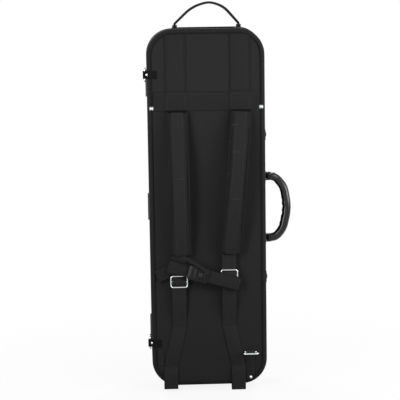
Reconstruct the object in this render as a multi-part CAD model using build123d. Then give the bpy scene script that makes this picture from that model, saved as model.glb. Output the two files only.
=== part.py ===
from build123d import *
import math
import os

# Oblong case for a full-size violin, standing on its end with its back towards -Y.
# X runs across the case, with the carry handle at +X and the lid's hinges at -X.
# Y runs through its depth, with the back panel at -Y and the lid at +Y; the halves part at y = 0.
# Z runs up from the surface that the feet stand on. All sizes are in millimetres.
# At the end everything is moved so that the origin is under the middle of the whole.

# Case halves
CASE_WIDTH = 256.0
CASE_HEIGHT = 790.0
BACK_DEPTH = 78.0
LID_DEPTH = 52.0
CORNER_RADIUS = 57.0
EDGE_RADIUS = 9.0
SHELL_WALL = 8.0
COVER_THICKNESS = 1.4
PARTING_GAP = 0.3
OVERRUN = 3.0
FLAT_GAP = 0.3

# Piping round the back panel and the lid's front
PIPING_RADIUS = 1.6
PIPING_SEAT = 0.9

# Feet
FOOT_HEIGHT = 14.0
FOOT_TOP_RADIUS = 11.0
FOOT_BASE_RADIUS = 9.0
FOOT_RISE = 12.0
BACK_FOOT_LEFT_INSET = 44.0
BACK_FOOT_RIGHT_INSET = 61.0
BACK_FOOT_DEPTH = 37.0
LID_FOOT_LEFT_INSET = 49.0
LID_FOOT_RIGHT_INSET = 56.0
LID_FOOT_DEPTH = 27.0

# Butt hinges on the -X side
HINGE_LENGTH = 60.0
HINGE_HEIGHT_SHARES = (0.15, 0.5, 0.85)
HINGE_KNUCKLES = 5
HINGE_KNUCKLE_RADIUS = 2.8
HINGE_PIN_RADIUS = 1.2
HINGE_LEAF_WIDTH = 8.6
HINGE_LEAF_THICKNESS = 1.2
HINGE_AXIAL_GAP = 0.3
PIN_CLEARANCE = 0.05
HINGE_GROOVE_CLEARANCE = 0.4

# Zip round three sides
ZIP_TAPE_WIDTH = 8.0
ZIP_TAPE_THICKNESS = 1.2
ZIP_TEETH_WIDTH = 2.6
ZIP_TEETH_HEIGHT = 2.8
SLIDER_LENGTH = 15.0
SLIDER_WIDTH = 10.0
SLIDER_PLATE = 1.5
SLIDER_FLANGE = 1.4
SLIDER_SPACING = 9.0
PULL_LENGTH = 26.0
PULL_WIDTH = 6.0
PULL_THICKNESS = 1.4
PULL_HOLE = 3.0

# Latches beside the handle
LATCH_OFFSET = 160.0
LATCH_WIDTH = 24.0
LATCH_BODY_START = 9.0
LATCH_BODY_LENGTH = 32.0
LATCH_BODY_HEIGHT = 3.8
LATCH_CORNER = 3.0
HASP_THICKNESS = 1.6
HASP_REACH = 16.0
HASP_LIFT = 4.2
HASP_PIVOT_DEPTH = 15.0
HASP_KNUCKLE_RADIUS = 2.2
HASP_PIN_RADIUS = 0.9
STRIKE_LENGTH = 13.0
STRIKE_PLATE = 1.2
STRIKE_EAR = 3.0
THUMB_LENGTH = 12.0
THUMB_WIDTH = 9.0
THUMB_HEIGHT = 2.2
THUMB_TRAVEL = 7.0
THUMB_WELL = 1.6

# Carry handle on the +X side
HANDLE_MIDDLE_Z = 409.0
HANDLE_SPAN = 138.0
HANDLE_DEPTH = 42.0
HANDLE_REACH = 62.5
HANDLE_PIVOT = 10.0
GRIP_HALF_THICKNESS = 8.5
GRIP_HALF_WIDTH = 9.5
GRIP_START = 9.0
GRIP_BOW = 9.5
GRIP_END_RISE = 7.0
GRIP_BEND = 28.0
GRIP_BOW_RADIUS = 260.0
FINGER_COUNT = 4
FINGER_PITCH = 22.0
FINGER_RADIUS = 9.0
FINGER_RELIEF = 2.0
HANDLE_NECK_WIDTH = 12.0
HANDLE_NECK_THICKNESS = 9.0
HANDLE_KNUCKLE_RADIUS = 5.0
HANDLE_PIN_RADIUS = 1.8
HANDLE_EAR = 2.5
HANDLE_EAR_GAP = 0.4
HANDLE_PLATE = 2.0
HANDLE_PLATE_WIDTH = 20.0
HANDLE_PLATE_MARGIN = 5.0

# Strap handle on the top end
TOP_LEFT_INSET = 63.0
TOP_RIGHT_INSET = 54.0
TOP_DEPTH = 40.0
TOP_RISE = 58.0
TOP_SHOULDER_DROP = 11.0
# Places along the span between its roots, and bend radii, as shares of that span
TOP_SHOULDER_LEFT_SHARE = 0.273
TOP_CROWN_SHARE = 0.547
TOP_SHOULDER_RIGHT_SHARE = 0.77
TOP_BEND_SHARES = (0.6, 0.32, 0.4)
TOP_STRAP_THICKNESS = 5.0
TOP_STRAP_WIDTH = 26.0
TOP_STRAP_END_WIDTH = 8.0
TOP_ROOT_RISE = 6.0
TOP_ROOT_BEND = 5.0
TOP_TAPER_START = 3.0
TOP_TAPER_LENGTH = 23.0
TOP_PIVOT = 5.0
TOP_KNUCKLE_RADIUS = 3.6
TOP_KNUCKLE_LENGTH = 6.4
TOP_PIN_RADIUS = 1.4
TOP_EAR = 1.6
TOP_EAR_GAP = 0.3
TOP_PLATE = 1.0
TOP_PLATE_DEPTH = 16.0
TOP_PLATE_MARGIN = 5.0

# Yoke band, its rivets and the strap anchors above it
YOKE_DROP = 175.5
YOKE_HEIGHT = 41.0
YOKE_LEFT_INSET = 14.0
YOKE_RIGHT_INSET = 21.0
YOKE_THICKNESS = 2.4
YOKE_CORNER = 4.0
ANCHOR_LEFT = 66.0
ANCHOR_RIGHT = 74.0
ANCHOR_WIDTH = 44.0
ANCHOR_THICKNESS = 2.0
ANCHOR_TAIL = 30.0
RIVET_INSET = 9.0
RIVET_RISE = 6.0
RIVET_RADIUS = 3.8
RIVET_HEIGHT = 2.2
RIVET_WASHER = 4.7
RIVET_WASHER_THICKNESS = 0.8

# Padded shoulder straps
STRAP_WIDTH = 46.0
STRAP_THICKNESS = 9.0
STRAP_EDGE = 3.6
STRAP_BOTTOM = 313.0
STRAP_TOP_GAP = 2.8
STRAP_BELLY_Z = 455.0
STRAP_BELLY_GAP = 24.0
STRAP_END_GAP = 8.0
STRAP_LEFT_TOP = 64.0
STRAP_LEFT_BOTTOM = 60.5
STRAP_RIGHT_TOP = 75.5
STRAP_RIGHT_BOTTOM = 47.5

# Lower webbings, slide buckles and loops
WEBBING_WIDTH = 31.0
WEBBING_THICKNESS = 1.8
WEBBING_LEFT = 66.0
WEBBING_RIGHT = 44.6
WEBBING_LEFT_FOOT_INSET = 41.0
WEBBING_RIGHT_FOOT_INSET = 64.0
WEBBING_UPPER_GAP = 12.0
WEBBING_TOP_GAP = 0.8
WEBBING_BELT_GAP = 9.5
WEBBING_BELT_Z = 205.0
WEBBING_PANEL_Z = 160.0
WEBBING_SLANT_START = 150.0
WEBBING_SLANT_END = 60.0
WEBBING_STEP_START = 56.0
WEBBING_STEP_END = 44.0
WEBBING_BEND = 30.0
LOOP_LEFT_CLEARANCE = 7.0
LOOP_RIGHT_CLEARANCE = 2.2
LOOP_RUN = 19.0
LOOP_BEND = 4.5
LOOP_LEG = 22.0
BUCKLE_WIDTH = 39.0
BUCKLE_HEIGHT = 28.0
BUCKLE_BAR = 3.6
BUCKLE_THICKNESS = 3.0
BUCKLE_CORNER = 5.0
BUCKLE_LEFT_Z = 254.0
BUCKLE_RIGHT_Z = 265.5

# Waist belt and its side-release buckle
BELT_WIDTH = 27.0
BELT_THICKNESS = 1.6
BELT_FRONT_GAP = 23.0
BELT_SEAT_DROP = 23.0
BELT_BEND = 4.0
BELT_LEFT_Z = 284.0
BELT_LEFT_OUT = 23.2
BELT_LEFT_TILT = 21.0
BELT_TAIL = 52.0
BELT_RIGHT_Z = 253.0
BELT_RIGHT_OUT = 23.2
BELT_LAYER_GAP = 0.4
CLASP_X = 24.2
CLASP_Z = 272.5
CLASP_TILT = 15.5
CLASP_LENGTH = 46.0
CLASP_WIDTH = 33.0
CLASP_THICKNESS = 9.0
CLASP_WALL = 2.0
CLASP_CORNER = 5.0
CLASP_PLUG_SHARE = 0.42
CLASP_PRONG = 5.0
CLASP_NOTCH = 12.0
CLASP_CLEARANCE = 0.3
CLASP_RIB = 1.2
CLASP_RIBS = 3

# Rings on the hinge side and in the lower right corner
RING_WIRE = 2.0
RING_LENGTH = 28.0
RING_REACH = 20.0
RING_CORNER = 4.5
RING_UPPER_DROP = 97.0
RING_LOWER_Z = 113.0
RING_DEPTH = 8.0
RING_EYE_WALL = 1.9
RING_EYE_CLEARANCE = 0.3
RING_TAB_WIDTH = 17.0
RING_TAB_THICKNESS = 2.0
RING_TAB_REACH = 12.0
CORNER_RING_INSET = 37.5
CORNER_RING_Z = 89.0
CORNER_RING_WIDTH = 32.0
CORNER_RING_REACH = 16.0
CORNER_TAB_WIDTH = 20.0
CORNER_TAB_BOTTOM = 24.0
CORNER_RIVET_RADIUS = 3.0
CORNER_RIVET_HEIGHT = 2.0
CORNER_RIVET_INSET = 37.0
CORNER_RIVET_Z = 31.5
CORNER_STRIP_WIDTH = 13.0
CORNER_STRIP_TOP = 100.0
CORNER_STRIP_BOTTOM = 22.0
CORNER_STRIP_INSET = 18.3

# Violin bed
BED_WALL = 12.0
BED_FLOOR = 10.0
BED_RECESS_FROM_RIM = 7.0
VIOLIN_LENGTH = 368.0
LOWER_BOUT = 219.0
NECK_CHANNEL = 46.0
BED_TOP_MARGIN = 26.0
# Half widths as shares of half the lower bout, and heights as shares of the body's length
BOTTOM_ARC_SHARES = ((0.0, 0.0), (0.48, 0.026), (0.83, 0.104))
LOWER_ARC_SHARES = ((1.0, 0.215), (0.885, 0.35))
WAIST_ARC_SHARES = ((0.565, 0.51), (0.73, 0.67))
UPPER_ARC_SHARES = ((0.815, 0.79), (0.60, 0.925))
TOP_ARC_SHARES = ((0.345, 0.985), (0.0, 1.0))
PAD_RADIUS = 30.0
PAD_HEIGHT = 8.0
PAD_DOME = 6.0
LOWER_PAD_SHARE = 0.2
UPPER_PAD_SHARE = 0.82

# Neck zone, side compartment, accessory compartment and string tube
ACCESSORY_LENGTH = 132.6
DIVIDER_THICKNESS = 6.0
NECK_BLOCK_INNER = 36.0
NECK_BLOCK_ROUND = 8.0
COMPARTMENT_WIDTH = 40.0
COMPARTMENT_WALL = 3.0
COMPARTMENT_DEPTH = 30.0
FLAP_THICKNESS = 2.4
FLAP_GAP = 1.0
FLAP_PIN_RADIUS = 0.9
FLAP_KNUCKLE_RADIUS = 2.0
CRADLE_RISE = 70.6
CRADLE_HEIGHT = 34.0
CRADLE_DEPTH = 40.0
CRADLE_NOTCH = 19.0
NECK_STRAP_WIDTH = 22.0
NECK_STRAP_THICKNESS = 1.6
NECK_STRAP_RISE = 9.0
TUBE_RADIUS = 12.0
TUBE_END_MARGIN = 18.3
TUBE_WALL = 1.4
TUBE_CAP = 16.0
TUBE_SINK = 16.0
TUBE_GROOVE_CLEARANCE = 0.4

# Lid lining, bow holders and music pocket
LINING_THICKNESS = 6.0
SPINNER_X = 55.0
SPINNER_DROP = 112.0
SPINNER_BASE_RADIUS = 12.0
SPINNER_BASE = 4.0
SPINNER_POST_RADIUS = 4.0
SPINNER_POST = 10.0
SPINNER_KNOB_LENGTH = 42.0
SPINNER_KNOB_WIDTH = 12.0
SPINNER_KNOB = 7.0
SPINNER_GAP = 0.3
BOW_TIP_Z = 96.0
BOW_TIP_WIDTH = 30.0
BOW_TIP_HEIGHT = 46.0
BOW_TIP_DEPTH = 24.0
BOW_SLOT_WIDTH = 16.0
BOW_SLOT_DEPTH = 13.0
POCKET_SIDE = 22.0
POCKET_HEIGHT = 372.0
POCKET_BOTTOM = 90.0
POCKET_THICKNESS = 6.0
POCKET_CORNER = 22.0
POCKET_ROUND = 4.0
POCKET_ZIP_WIDTH = 9.0
POCKET_ZIP_THICKNESS = 1.8
POCKET_ZIP_MARGIN = 24.0
POCKET_ZIP_DROP = 26.0
POCKET_TEETH_WIDTH = 3.0
POCKET_TEETH_HEIGHT = 1.2
POCKET_SLIDER_LENGTH = 12.0
POCKET_SLIDER_WIDTH = 8.0
POCKET_SLIDER_HEIGHT = 2.0
POCKET_PULL_LENGTH = 22.0
POCKET_PULL_THICKNESS = 1.2

# Places worked out from the sizes above
BACK, FRONT = -1, 1
HALF_WIDTH = CASE_WIDTH / 2
CASE_BOTTOM = FOOT_HEIGHT
CASE_TOP = FOOT_HEIGHT + CASE_HEIGHT
CASE_MIDDLE_Z = FOOT_HEIGHT + CASE_HEIGHT / 2
BACK_Y = -BACK_DEPTH
LID_Y = PARTING_GAP + LID_DEPTH
PARTING_Y = PARTING_GAP / 2
INSET = COVER_THICKNESS + SHELL_WALL
INNER_X = HALF_WIDTH - INSET
INNER_BOTTOM = CASE_BOTTOM + INSET
FLOOR_Y = BACK_Y + INSET
LID_INNER_Y = LID_Y - INSET
LINING_Y = LID_INNER_Y - LINING_THICKNESS
HINGE_X = -HALF_WIDTH
HANDLE_X = HALF_WIDTH + HANDLE_PIVOT
HANDLE_Y = -HANDLE_DEPTH
HANDLE_ROOTS = (HANDLE_MIDDLE_Z - HANDLE_SPAN / 2, HANDLE_MIDDLE_Z + HANDLE_SPAN / 2)
TOP_PIVOT_Z = CASE_TOP + TOP_PIVOT
TOP_Y = -TOP_DEPTH
SLIDER_ZS = (HANDLE_MIDDLE_Z - SLIDER_SPACING, HANDLE_MIDDLE_Z + SLIDER_SPACING)
LATCH_ZS = (HANDLE_MIDDLE_Z - LATCH_OFFSET, HANDLE_MIDDLE_Z + LATCH_OFFSET)
BED_TOP = INNER_BOTTOM + BED_WALL + VIOLIN_LENGTH + BED_TOP_MARGIN
VIOLIN_BOTTOM = INNER_BOTTOM + BED_WALL
RECESS_Y = -BED_RECESS_FROM_RIM
NECK_ZONE_TOP = CASE_TOP - INSET - ACCESSORY_LENGTH - DIVIDER_THICKNESS
CRADLE_Z = BED_TOP + CRADLE_RISE
TUBE_LENGTH = NECK_ZONE_TOP - BED_TOP - 2 * TUBE_END_MARGIN
BACK_FOOT_LEFT = HALF_WIDTH - BACK_FOOT_LEFT_INSET
BACK_FOOT_RIGHT = HALF_WIDTH - BACK_FOOT_RIGHT_INSET
LID_FOOT_LEFT = HALF_WIDTH - LID_FOOT_LEFT_INSET
LID_FOOT_RIGHT = HALF_WIDTH - LID_FOOT_RIGHT_INSET
TOP_LEFT = HALF_WIDTH - TOP_LEFT_INSET
TOP_RIGHT = HALF_WIDTH - TOP_RIGHT_INSET
TOP_SPAN = TOP_LEFT + TOP_RIGHT
YOKE_BOTTOM = CASE_TOP - YOKE_DROP
YOKE_LEFT = HALF_WIDTH - YOKE_LEFT_INSET
YOKE_RIGHT = HALF_WIDTH - YOKE_RIGHT_INSET
RIVET_X = HALF_WIDTH - RIVET_INSET
RIVET_Z = YOKE_BOTTOM + RIVET_RISE
WEBBING_LEFT_FOOT = HALF_WIDTH - WEBBING_LEFT_FOOT_INSET
WEBBING_RIGHT_FOOT = HALF_WIDTH - WEBBING_RIGHT_FOOT_INSET
RING_UPPER_Z = CASE_TOP - RING_UPPER_DROP
CORNER_RING_X = HALF_WIDTH - CORNER_RING_INSET
CORNER_RIVET_X = HALF_WIDTH - CORNER_RIVET_INSET
CORNER_STRIP_X = HALF_WIDTH - CORNER_STRIP_INSET
SPINNER_Z = CASE_TOP - SPINNER_DROP
POCKET_WIDTH = CASE_WIDTH - 2 * POCKET_SIDE


def upright(y):
    """Plane across the case at depth y, whose axes are X and Z."""
    return Plane(origin=(0, y, 0), x_dir=(1, 0, 0), z_dir=(0, -1, 0))


def slab(sketch, y_from, y_to):
    """Sketch drawn in X and Z, thickened from one depth to another."""
    return extrude(upright(y_from) * sketch, amount=y_to - y_from, dir=(0, 1, 0))


def wall(sketch, x_from, x_to):
    """Sketch drawn in Y and Z, thickened across the case."""
    plane = Plane(origin=(x_from, 0, 0), x_dir=(0, 1, 0), z_dir=(1, 0, 0))
    return extrude(plane * sketch, amount=x_to - x_from, dir=(1, 0, 0))


def column(sketch, z_from, z_to):
    """Sketch drawn in X and Y, thickened upwards."""
    return extrude(Pos(0, 0, z_from) * sketch, amount=z_to - z_from, dir=(0, 0, 1))


def area(x_from, x_to, z_from, z_to, corner=0):
    """Rectangle between two X and two Z values, with round corners if a radius is given."""
    width, height = x_to - x_from, z_to - z_from
    shape = RectangleRounded(width, height, corner) if corner else Rectangle(width, height)
    return Pos((x_from + x_to) / 2, (z_from + z_to) / 2) * shape


def brick(x_from, x_to, y_from, y_to, z_from, z_to):
    """Plain block between two corners."""
    return slab(area(x_from, x_to, z_from, z_to), y_from, y_to)


def rod(axis, start, radius, length):
    """Cylinder that starts at a point and runs along an axis."""
    return extrude(Plane(origin=start, z_dir=axis) * Circle(radius), amount=length)


def ribbon(path, thickness):
    """Face of an even thickness along a path of lines and arcs, with square ends."""
    return trace(path, thickness)


def wire_loop(plane, width, height, corner, radius):
    """Round wire bent to a rectangle with round corners."""
    path = (plane * RectangleRounded(width, height, corner)).wire()
    section = Plane(origin=path @ 0, z_dir=path % 0) * Circle(radius)
    return sweep(section, path=path)


def group(*shapes):
    """Several separate solids as one node."""
    return Compound([solid for shape in shapes for solid in shape.solids()])


def turned(shape, x, z, degrees):
    """Shape turned in the plane of the back panel about a point, clockwise as seen from behind."""
    pivot = Location((x, 0, z))
    return shape.moved(pivot * Location((0, 0, 0), (0, degrees, 0)) * pivot.inverse())


def case_outline(inset):
    """Outline of the case, drawn in by an inset."""
    width, height = CASE_WIDTH - 2 * inset, CASE_HEIGHT - 2 * inset
    return Pos(0, CASE_MIDDLE_Z) * RectangleRounded(width, height, CORNER_RADIUS - inset)


def half_start(side):
    """Depth at which a half meets the other one."""
    return 0 if side == BACK else PARTING_GAP


def half_end(side, inset):
    """Depth of a half's big face, drawn in by an inset."""
    return BACK_Y + inset if side == BACK else LID_Y - inset


def half_block(side, inset):
    """Solid body of one half with its round edge, drawn in by an inset."""
    block = slab(case_outline(inset), half_start(side), half_end(side, inset))
    edge = EDGE_RADIUS - inset
    if edge > 0:
        face = block.faces().sort_by(Axis.Y)[0 if side == BACK else -1]
        block = fillet(face.edges(), edge)
    return block


def hinge_spans():
    """Lower and upper end of each hinge."""
    middles = [CASE_BOTTOM + share * CASE_HEIGHT for share in HINGE_HEIGHT_SHARES]
    return [(middle - HINGE_LENGTH / 2, middle + HINGE_LENGTH / 2) for middle in middles]


def leaf_depths(side):
    """Depths between which a hinge leaf is let into its half."""
    start = half_start(side)
    return (start, start + side * HINGE_LEAF_THICKNESS)


def hinge_room(side):
    """What the hinges need out of one half: a groove for the knuckles and a seat for each leaf."""
    room = []
    groove = HINGE_KNUCKLE_RADIUS + HINGE_GROOVE_CLEARANCE
    for low, high in hinge_spans():
        room.append(rod((0, 0, 1), (HINGE_X, PARTING_Y, low), groove, high - low))
        room.append(brick(HINGE_X, HINGE_X + HINGE_LEAF_WIDTH, *leaf_depths(side), low, high))
    return room


def shell(side):
    """Rigid tray of one half."""
    cavity = slab(case_outline(INSET), half_start(side), half_end(side, INSET))
    return half_block(side, COVER_THICKNESS) - cavity - hinge_room(side)


def piping(side):
    """Cord sewn in round the big face of one half, just inside its round edge."""
    width, height = CASE_WIDTH - 2 * EDGE_RADIUS, CASE_HEIGHT - 2 * EDGE_RADIUS
    depth = half_end(side, 0) + side * (PIPING_RADIUS - PIPING_SEAT)
    plane = upright(depth) * Pos(0, CASE_MIDDLE_Z)
    return wire_loop(plane, width, height, CORNER_RADIUS - EDGE_RADIUS, PIPING_RADIUS)


def piping_rise():
    """How far the piping stands proud of the panel that it lies on."""
    return 2 * PIPING_RADIUS - PIPING_SEAT


def cover(side, cord):
    """Fabric skin of one half, with a seat for its piping."""
    return half_block(side, 0) - half_block(side, COVER_THICKNESS) - cord - hinge_room(side)


def knuckle_spans(side, low):
    """Lower and upper end of each of a leaf's knuckles: the back half has the odd ones."""
    pitch = HINGE_LENGTH / HINGE_KNUCKLES
    first = 0 if side == BACK else 1
    starts = [low + pitch * index for index in range(first, HINGE_KNUCKLES, 2)]
    return [(start + HINGE_AXIAL_GAP / 2, start + pitch - HINGE_AXIAL_GAP / 2) for start in starts]


def hinge_leaf(side, low, high):
    """One leaf let into the rim, with its knuckles on the outer edge of the case."""
    groove = HINGE_KNUCKLE_RADIUS + HINGE_GROOVE_CLEARANCE
    near, far = leaf_depths(side)
    leaf = brick(HINGE_X + groove, HINGE_X + HINGE_LEAF_WIDTH, near, far, low, high)
    for start, end in knuckle_spans(side, low):
        leaf += brick(HINGE_X, HINGE_X + groove, near, far, start, end)
        leaf += rod((0, 0, 1), (HINGE_X, PARTING_Y, start), HINGE_KNUCKLE_RADIUS, end - start)
    bore = HINGE_PIN_RADIUS + PIN_CLEARANCE
    return leaf - rod((0, 0, 1), (HINGE_X, PARTING_Y, low), bore, high - low)


def hinge_leaves(side):
    """All leaves of one half."""
    return group(*[hinge_leaf(side, low, high) for low, high in hinge_spans()])


def hinge_pins():
    """One pin through each hinge."""
    axis = (0, 0, 1)
    pins = []
    for low, high in hinge_spans():
        pins.append(rod(axis, (HINGE_X, PARTING_Y, low), HINGE_PIN_RADIUS, high - low))
    return group(*pins)


def outline_strip(proud, y_from, y_to):
    """Band on the top end, the handle side and the bottom end, standing a height proud."""
    inner = case_outline(0)
    strip = slab(case_outline(-proud) - inner, y_from, y_to)
    keep_from = -HALF_WIDTH + CORNER_RADIUS
    room = brick(keep_from, CASE_WIDTH, y_from, y_to, CASE_BOTTOM - CORNER_RADIUS, CASE_TOP + CORNER_RADIUS)
    return strip & room


def zip_tape(side):
    """Half of the zip: its tape and its row of teeth at the parting line."""
    start = half_start(side)
    tape = outline_strip(ZIP_TAPE_THICKNESS, start, start + side * ZIP_TAPE_WIDTH)
    teeth = outline_strip(ZIP_TEETH_HEIGHT, start, start + side * ZIP_TEETH_WIDTH)
    return tape + teeth


def zip_slider(z, direction):
    """Slider over the teeth, with its pull lying along the zip away from the meeting point."""
    top = HALF_WIDTH + ZIP_TEETH_HEIGHT + FLAT_GAP
    low, high = z - SLIDER_LENGTH / 2, z + SLIDER_LENGTH / 2
    half = SLIDER_WIDTH / 2
    corner = SLIDER_WIDTH / 4
    outline = Pos(PARTING_Y, z) * RectangleRounded(SLIDER_WIDTH, SLIDER_LENGTH, corner)
    plate = wall(outline, top, top + SLIDER_PLATE)
    flange_edge = PARTING_Y - half
    low_flange, high_flange = low + corner, high - corner
    bottom = HALF_WIDTH + ZIP_TAPE_THICKNESS + FLAT_GAP
    flange = brick(bottom, top, flange_edge, flange_edge + SLIDER_FLANGE, low_flange, high_flange)
    bridge_top = top + SLIDER_PLATE
    eye_z = z + direction * (SLIDER_LENGTH / 2 - corner)
    pull_z = eye_z + direction * PULL_LENGTH / 2
    end_radius = PULL_WIDTH / 2 - PULL_THICKNESS / 2
    pull = Pos(PARTING_Y, pull_z) * RectangleRounded(PULL_WIDTH, PULL_LENGTH, end_radius)
    hole_z = eye_z + direction * (PULL_LENGTH - PULL_HOLE)
    pull -= Pos(PARTING_Y, hole_z) * Circle(PULL_HOLE / 2)
    return plate + flange + wall(pull, bridge_top, bridge_top + PULL_THICKNESS)


def latch_base(z):
    """Low housing on the back half, with a well in which the thumb slide travels."""
    y_near = -LATCH_BODY_START
    y_far = y_near - LATCH_BODY_LENGTH
    outline = Pos((y_near + y_far) / 2, z) * RectangleRounded(LATCH_BODY_LENGTH, LATCH_WIDTH, LATCH_CORNER)
    body = wall(outline, HALF_WIDTH, HALF_WIDTH + LATCH_BODY_HEIGHT)
    body = fillet(body.faces().sort_by(Axis.X)[-1].edges(), LATCH_BODY_HEIGHT / 4)
    top = HALF_WIDTH + LATCH_BODY_HEIGHT
    well_y = thumb_y()
    length = THUMB_LENGTH + THUMB_TRAVEL + 2 * FLAT_GAP
    well = Pos(well_y - THUMB_TRAVEL / 2, z) * Rectangle(length, THUMB_WIDTH + 2 * FLAT_GAP)
    return body - wall(well, top - THUMB_WELL, top + OVERRUN)


def thumb_y():
    """Middle of the thumb slide at rest, past the end of the hasp."""
    return -(HASP_REACH + FLAT_GAP + THUMB_LENGTH / 2)


def latch_thumb(z):
    """Thumb slide, pushed towards the back panel to free the hasp."""
    floor = HALF_WIDTH + LATCH_BODY_HEIGHT - THUMB_WELL + FLAT_GAP
    outline = Pos(thumb_y(), z) * Rectangle(THUMB_LENGTH, THUMB_WIDTH)
    block = wall(outline, floor, floor + THUMB_WELL + THUMB_HEIGHT)
    crest = block.faces().sort_by(Axis.X)[-1].edges()
    return fillet(crest, THUMB_HEIGHT / 2)


def hasp_pivot():
    """Place of a hasp's pivot in X and Y."""
    return (HALF_WIDTH + HASP_LIFT + HASP_THICKNESS / 2, HASP_PIVOT_DEPTH)


def latch_strike(z):
    """Plate on the lid with two ears and the pin that the hasp turns on."""
    x, y = hasp_pivot()
    half = LATCH_WIDTH / 2
    radius = HASP_KNUCKLE_RADIUS
    outline = Pos(y, z) * RectangleRounded(STRIKE_LENGTH, LATCH_WIDTH, LATCH_CORNER)
    strike = wall(outline, HALF_WIDTH, HALF_WIDTH + STRIKE_PLATE)
    for start in (z - half, z + half - STRIKE_EAR):
        strike += brick(HALF_WIDTH, x, y - radius, y + radius, start, start + STRIKE_EAR)
        strike += rod((0, 0, 1), (x, y, start), radius, STRIKE_EAR)
    return strike + rod((0, 0, 1), (x, y, z - half), HASP_PIN_RADIUS, LATCH_WIDTH)


def latch_hasp(z):
    """Hasp on the lid that reaches over the zip onto the latch base."""
    x, y = hasp_pivot()
    half = LATCH_WIDTH / 2 - STRIKE_EAR - FLAT_GAP
    inner = x - HASP_THICKNESS / 2
    outline = Pos((y - HASP_REACH) / 2, z) * RectangleRounded(y + HASP_REACH, 2 * half, LATCH_CORNER)
    hasp = wall(outline, inner, inner + HASP_THICKNESS)
    hasp += rod((0, 0, 1), (x, y, z - half), HASP_KNUCKLE_RADIUS, 2 * half)
    return hasp - rod((0, 0, 1), (x, y, z - half), HASP_PIN_RADIUS + PIN_CLEARANCE, 2 * half)


def carry_grip():
    """Bowed grip with finger swells on its inner side and a knuckle at each end."""
    low, high = HANDLE_ROOTS
    start_x = HANDLE_X + GRIP_START
    crest_x = HALF_WIDTH + HANDLE_REACH - GRIP_HALF_THICKNESS
    shoulder_x = crest_x - GRIP_BOW
    points = [
        (start_x, HANDLE_Y, low),
        (shoulder_x, HANDLE_Y, low + GRIP_END_RISE),
        (crest_x, HANDLE_Y, HANDLE_MIDDLE_Z),
        (shoulder_x, HANDLE_Y, high - GRIP_END_RISE),
        (start_x, HANDLE_Y, high),
    ]
    path = FilletPolyline(*points, radius=[GRIP_BEND, GRIP_BOW_RADIUS, GRIP_BEND])
    oval = Ellipse(GRIP_HALF_WIDTH, GRIP_HALF_THICKNESS)
    section = Plane(origin=path @ 0, x_dir=(0, 1, 0), z_dir=path % 0) * oval
    grip = sweep(section, path=path)
    swell_x = crest_x - GRIP_HALF_THICKNESS + FINGER_RADIUS - FINGER_RELIEF
    first = HANDLE_MIDDLE_Z - FINGER_PITCH * (FINGER_COUNT - 1) / 2
    for index in range(FINGER_COUNT):
        grip += Pos(swell_x, HANDLE_Y, first + index * FINGER_PITCH) * Sphere(FINGER_RADIUS)
    half = HANDLE_NECK_WIDTH / 2
    side = HANDLE_NECK_THICKNESS / 2
    for root in HANDLE_ROOTS:
        neck_end = start_x + GRIP_HALF_THICKNESS
        grip += brick(HANDLE_X, neck_end, HANDLE_Y - side, HANDLE_Y + side, root - half, root + half)
        grip += rod((0, 0, 1), (HANDLE_X, HANDLE_Y, root - half), HANDLE_KNUCKLE_RADIUS, 2 * half)
        bore = HANDLE_PIN_RADIUS + PIN_CLEARANCE
        grip -= rod((0, 0, 1), (HANDLE_X, HANDLE_Y, root - half), bore, 2 * half)
    return grip


def handle_bracket(root):
    """Plate on the side wall with two ears, and the pin pressed into them."""
    inner = HANDLE_NECK_WIDTH / 2 + HANDLE_EAR_GAP
    outer = inner + HANDLE_EAR
    length = 2 * (outer + HANDLE_PLATE_MARGIN)
    outline = Pos(HANDLE_Y, root) * RectangleRounded(HANDLE_PLATE_WIDTH, length, HANDLE_PLATE_MARGIN)
    bracket = wall(outline, HALF_WIDTH, HALF_WIDTH + HANDLE_PLATE)
    radius = HANDLE_KNUCKLE_RADIUS
    y_low, y_high = HANDLE_Y - radius, HANDLE_Y + radius
    for start in (root - outer, root + inner):
        bracket += brick(HALF_WIDTH, HANDLE_X, y_low, y_high, start, start + HANDLE_EAR)
        bracket += rod((0, 0, 1), (HANDLE_X, HANDLE_Y, start), radius, HANDLE_EAR)
    pin = rod((0, 0, 1), (HANDLE_X, HANDLE_Y, root - outer), HANDLE_PIN_RADIUS, 2 * outer)
    return group(bracket - pin, pin)


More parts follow.
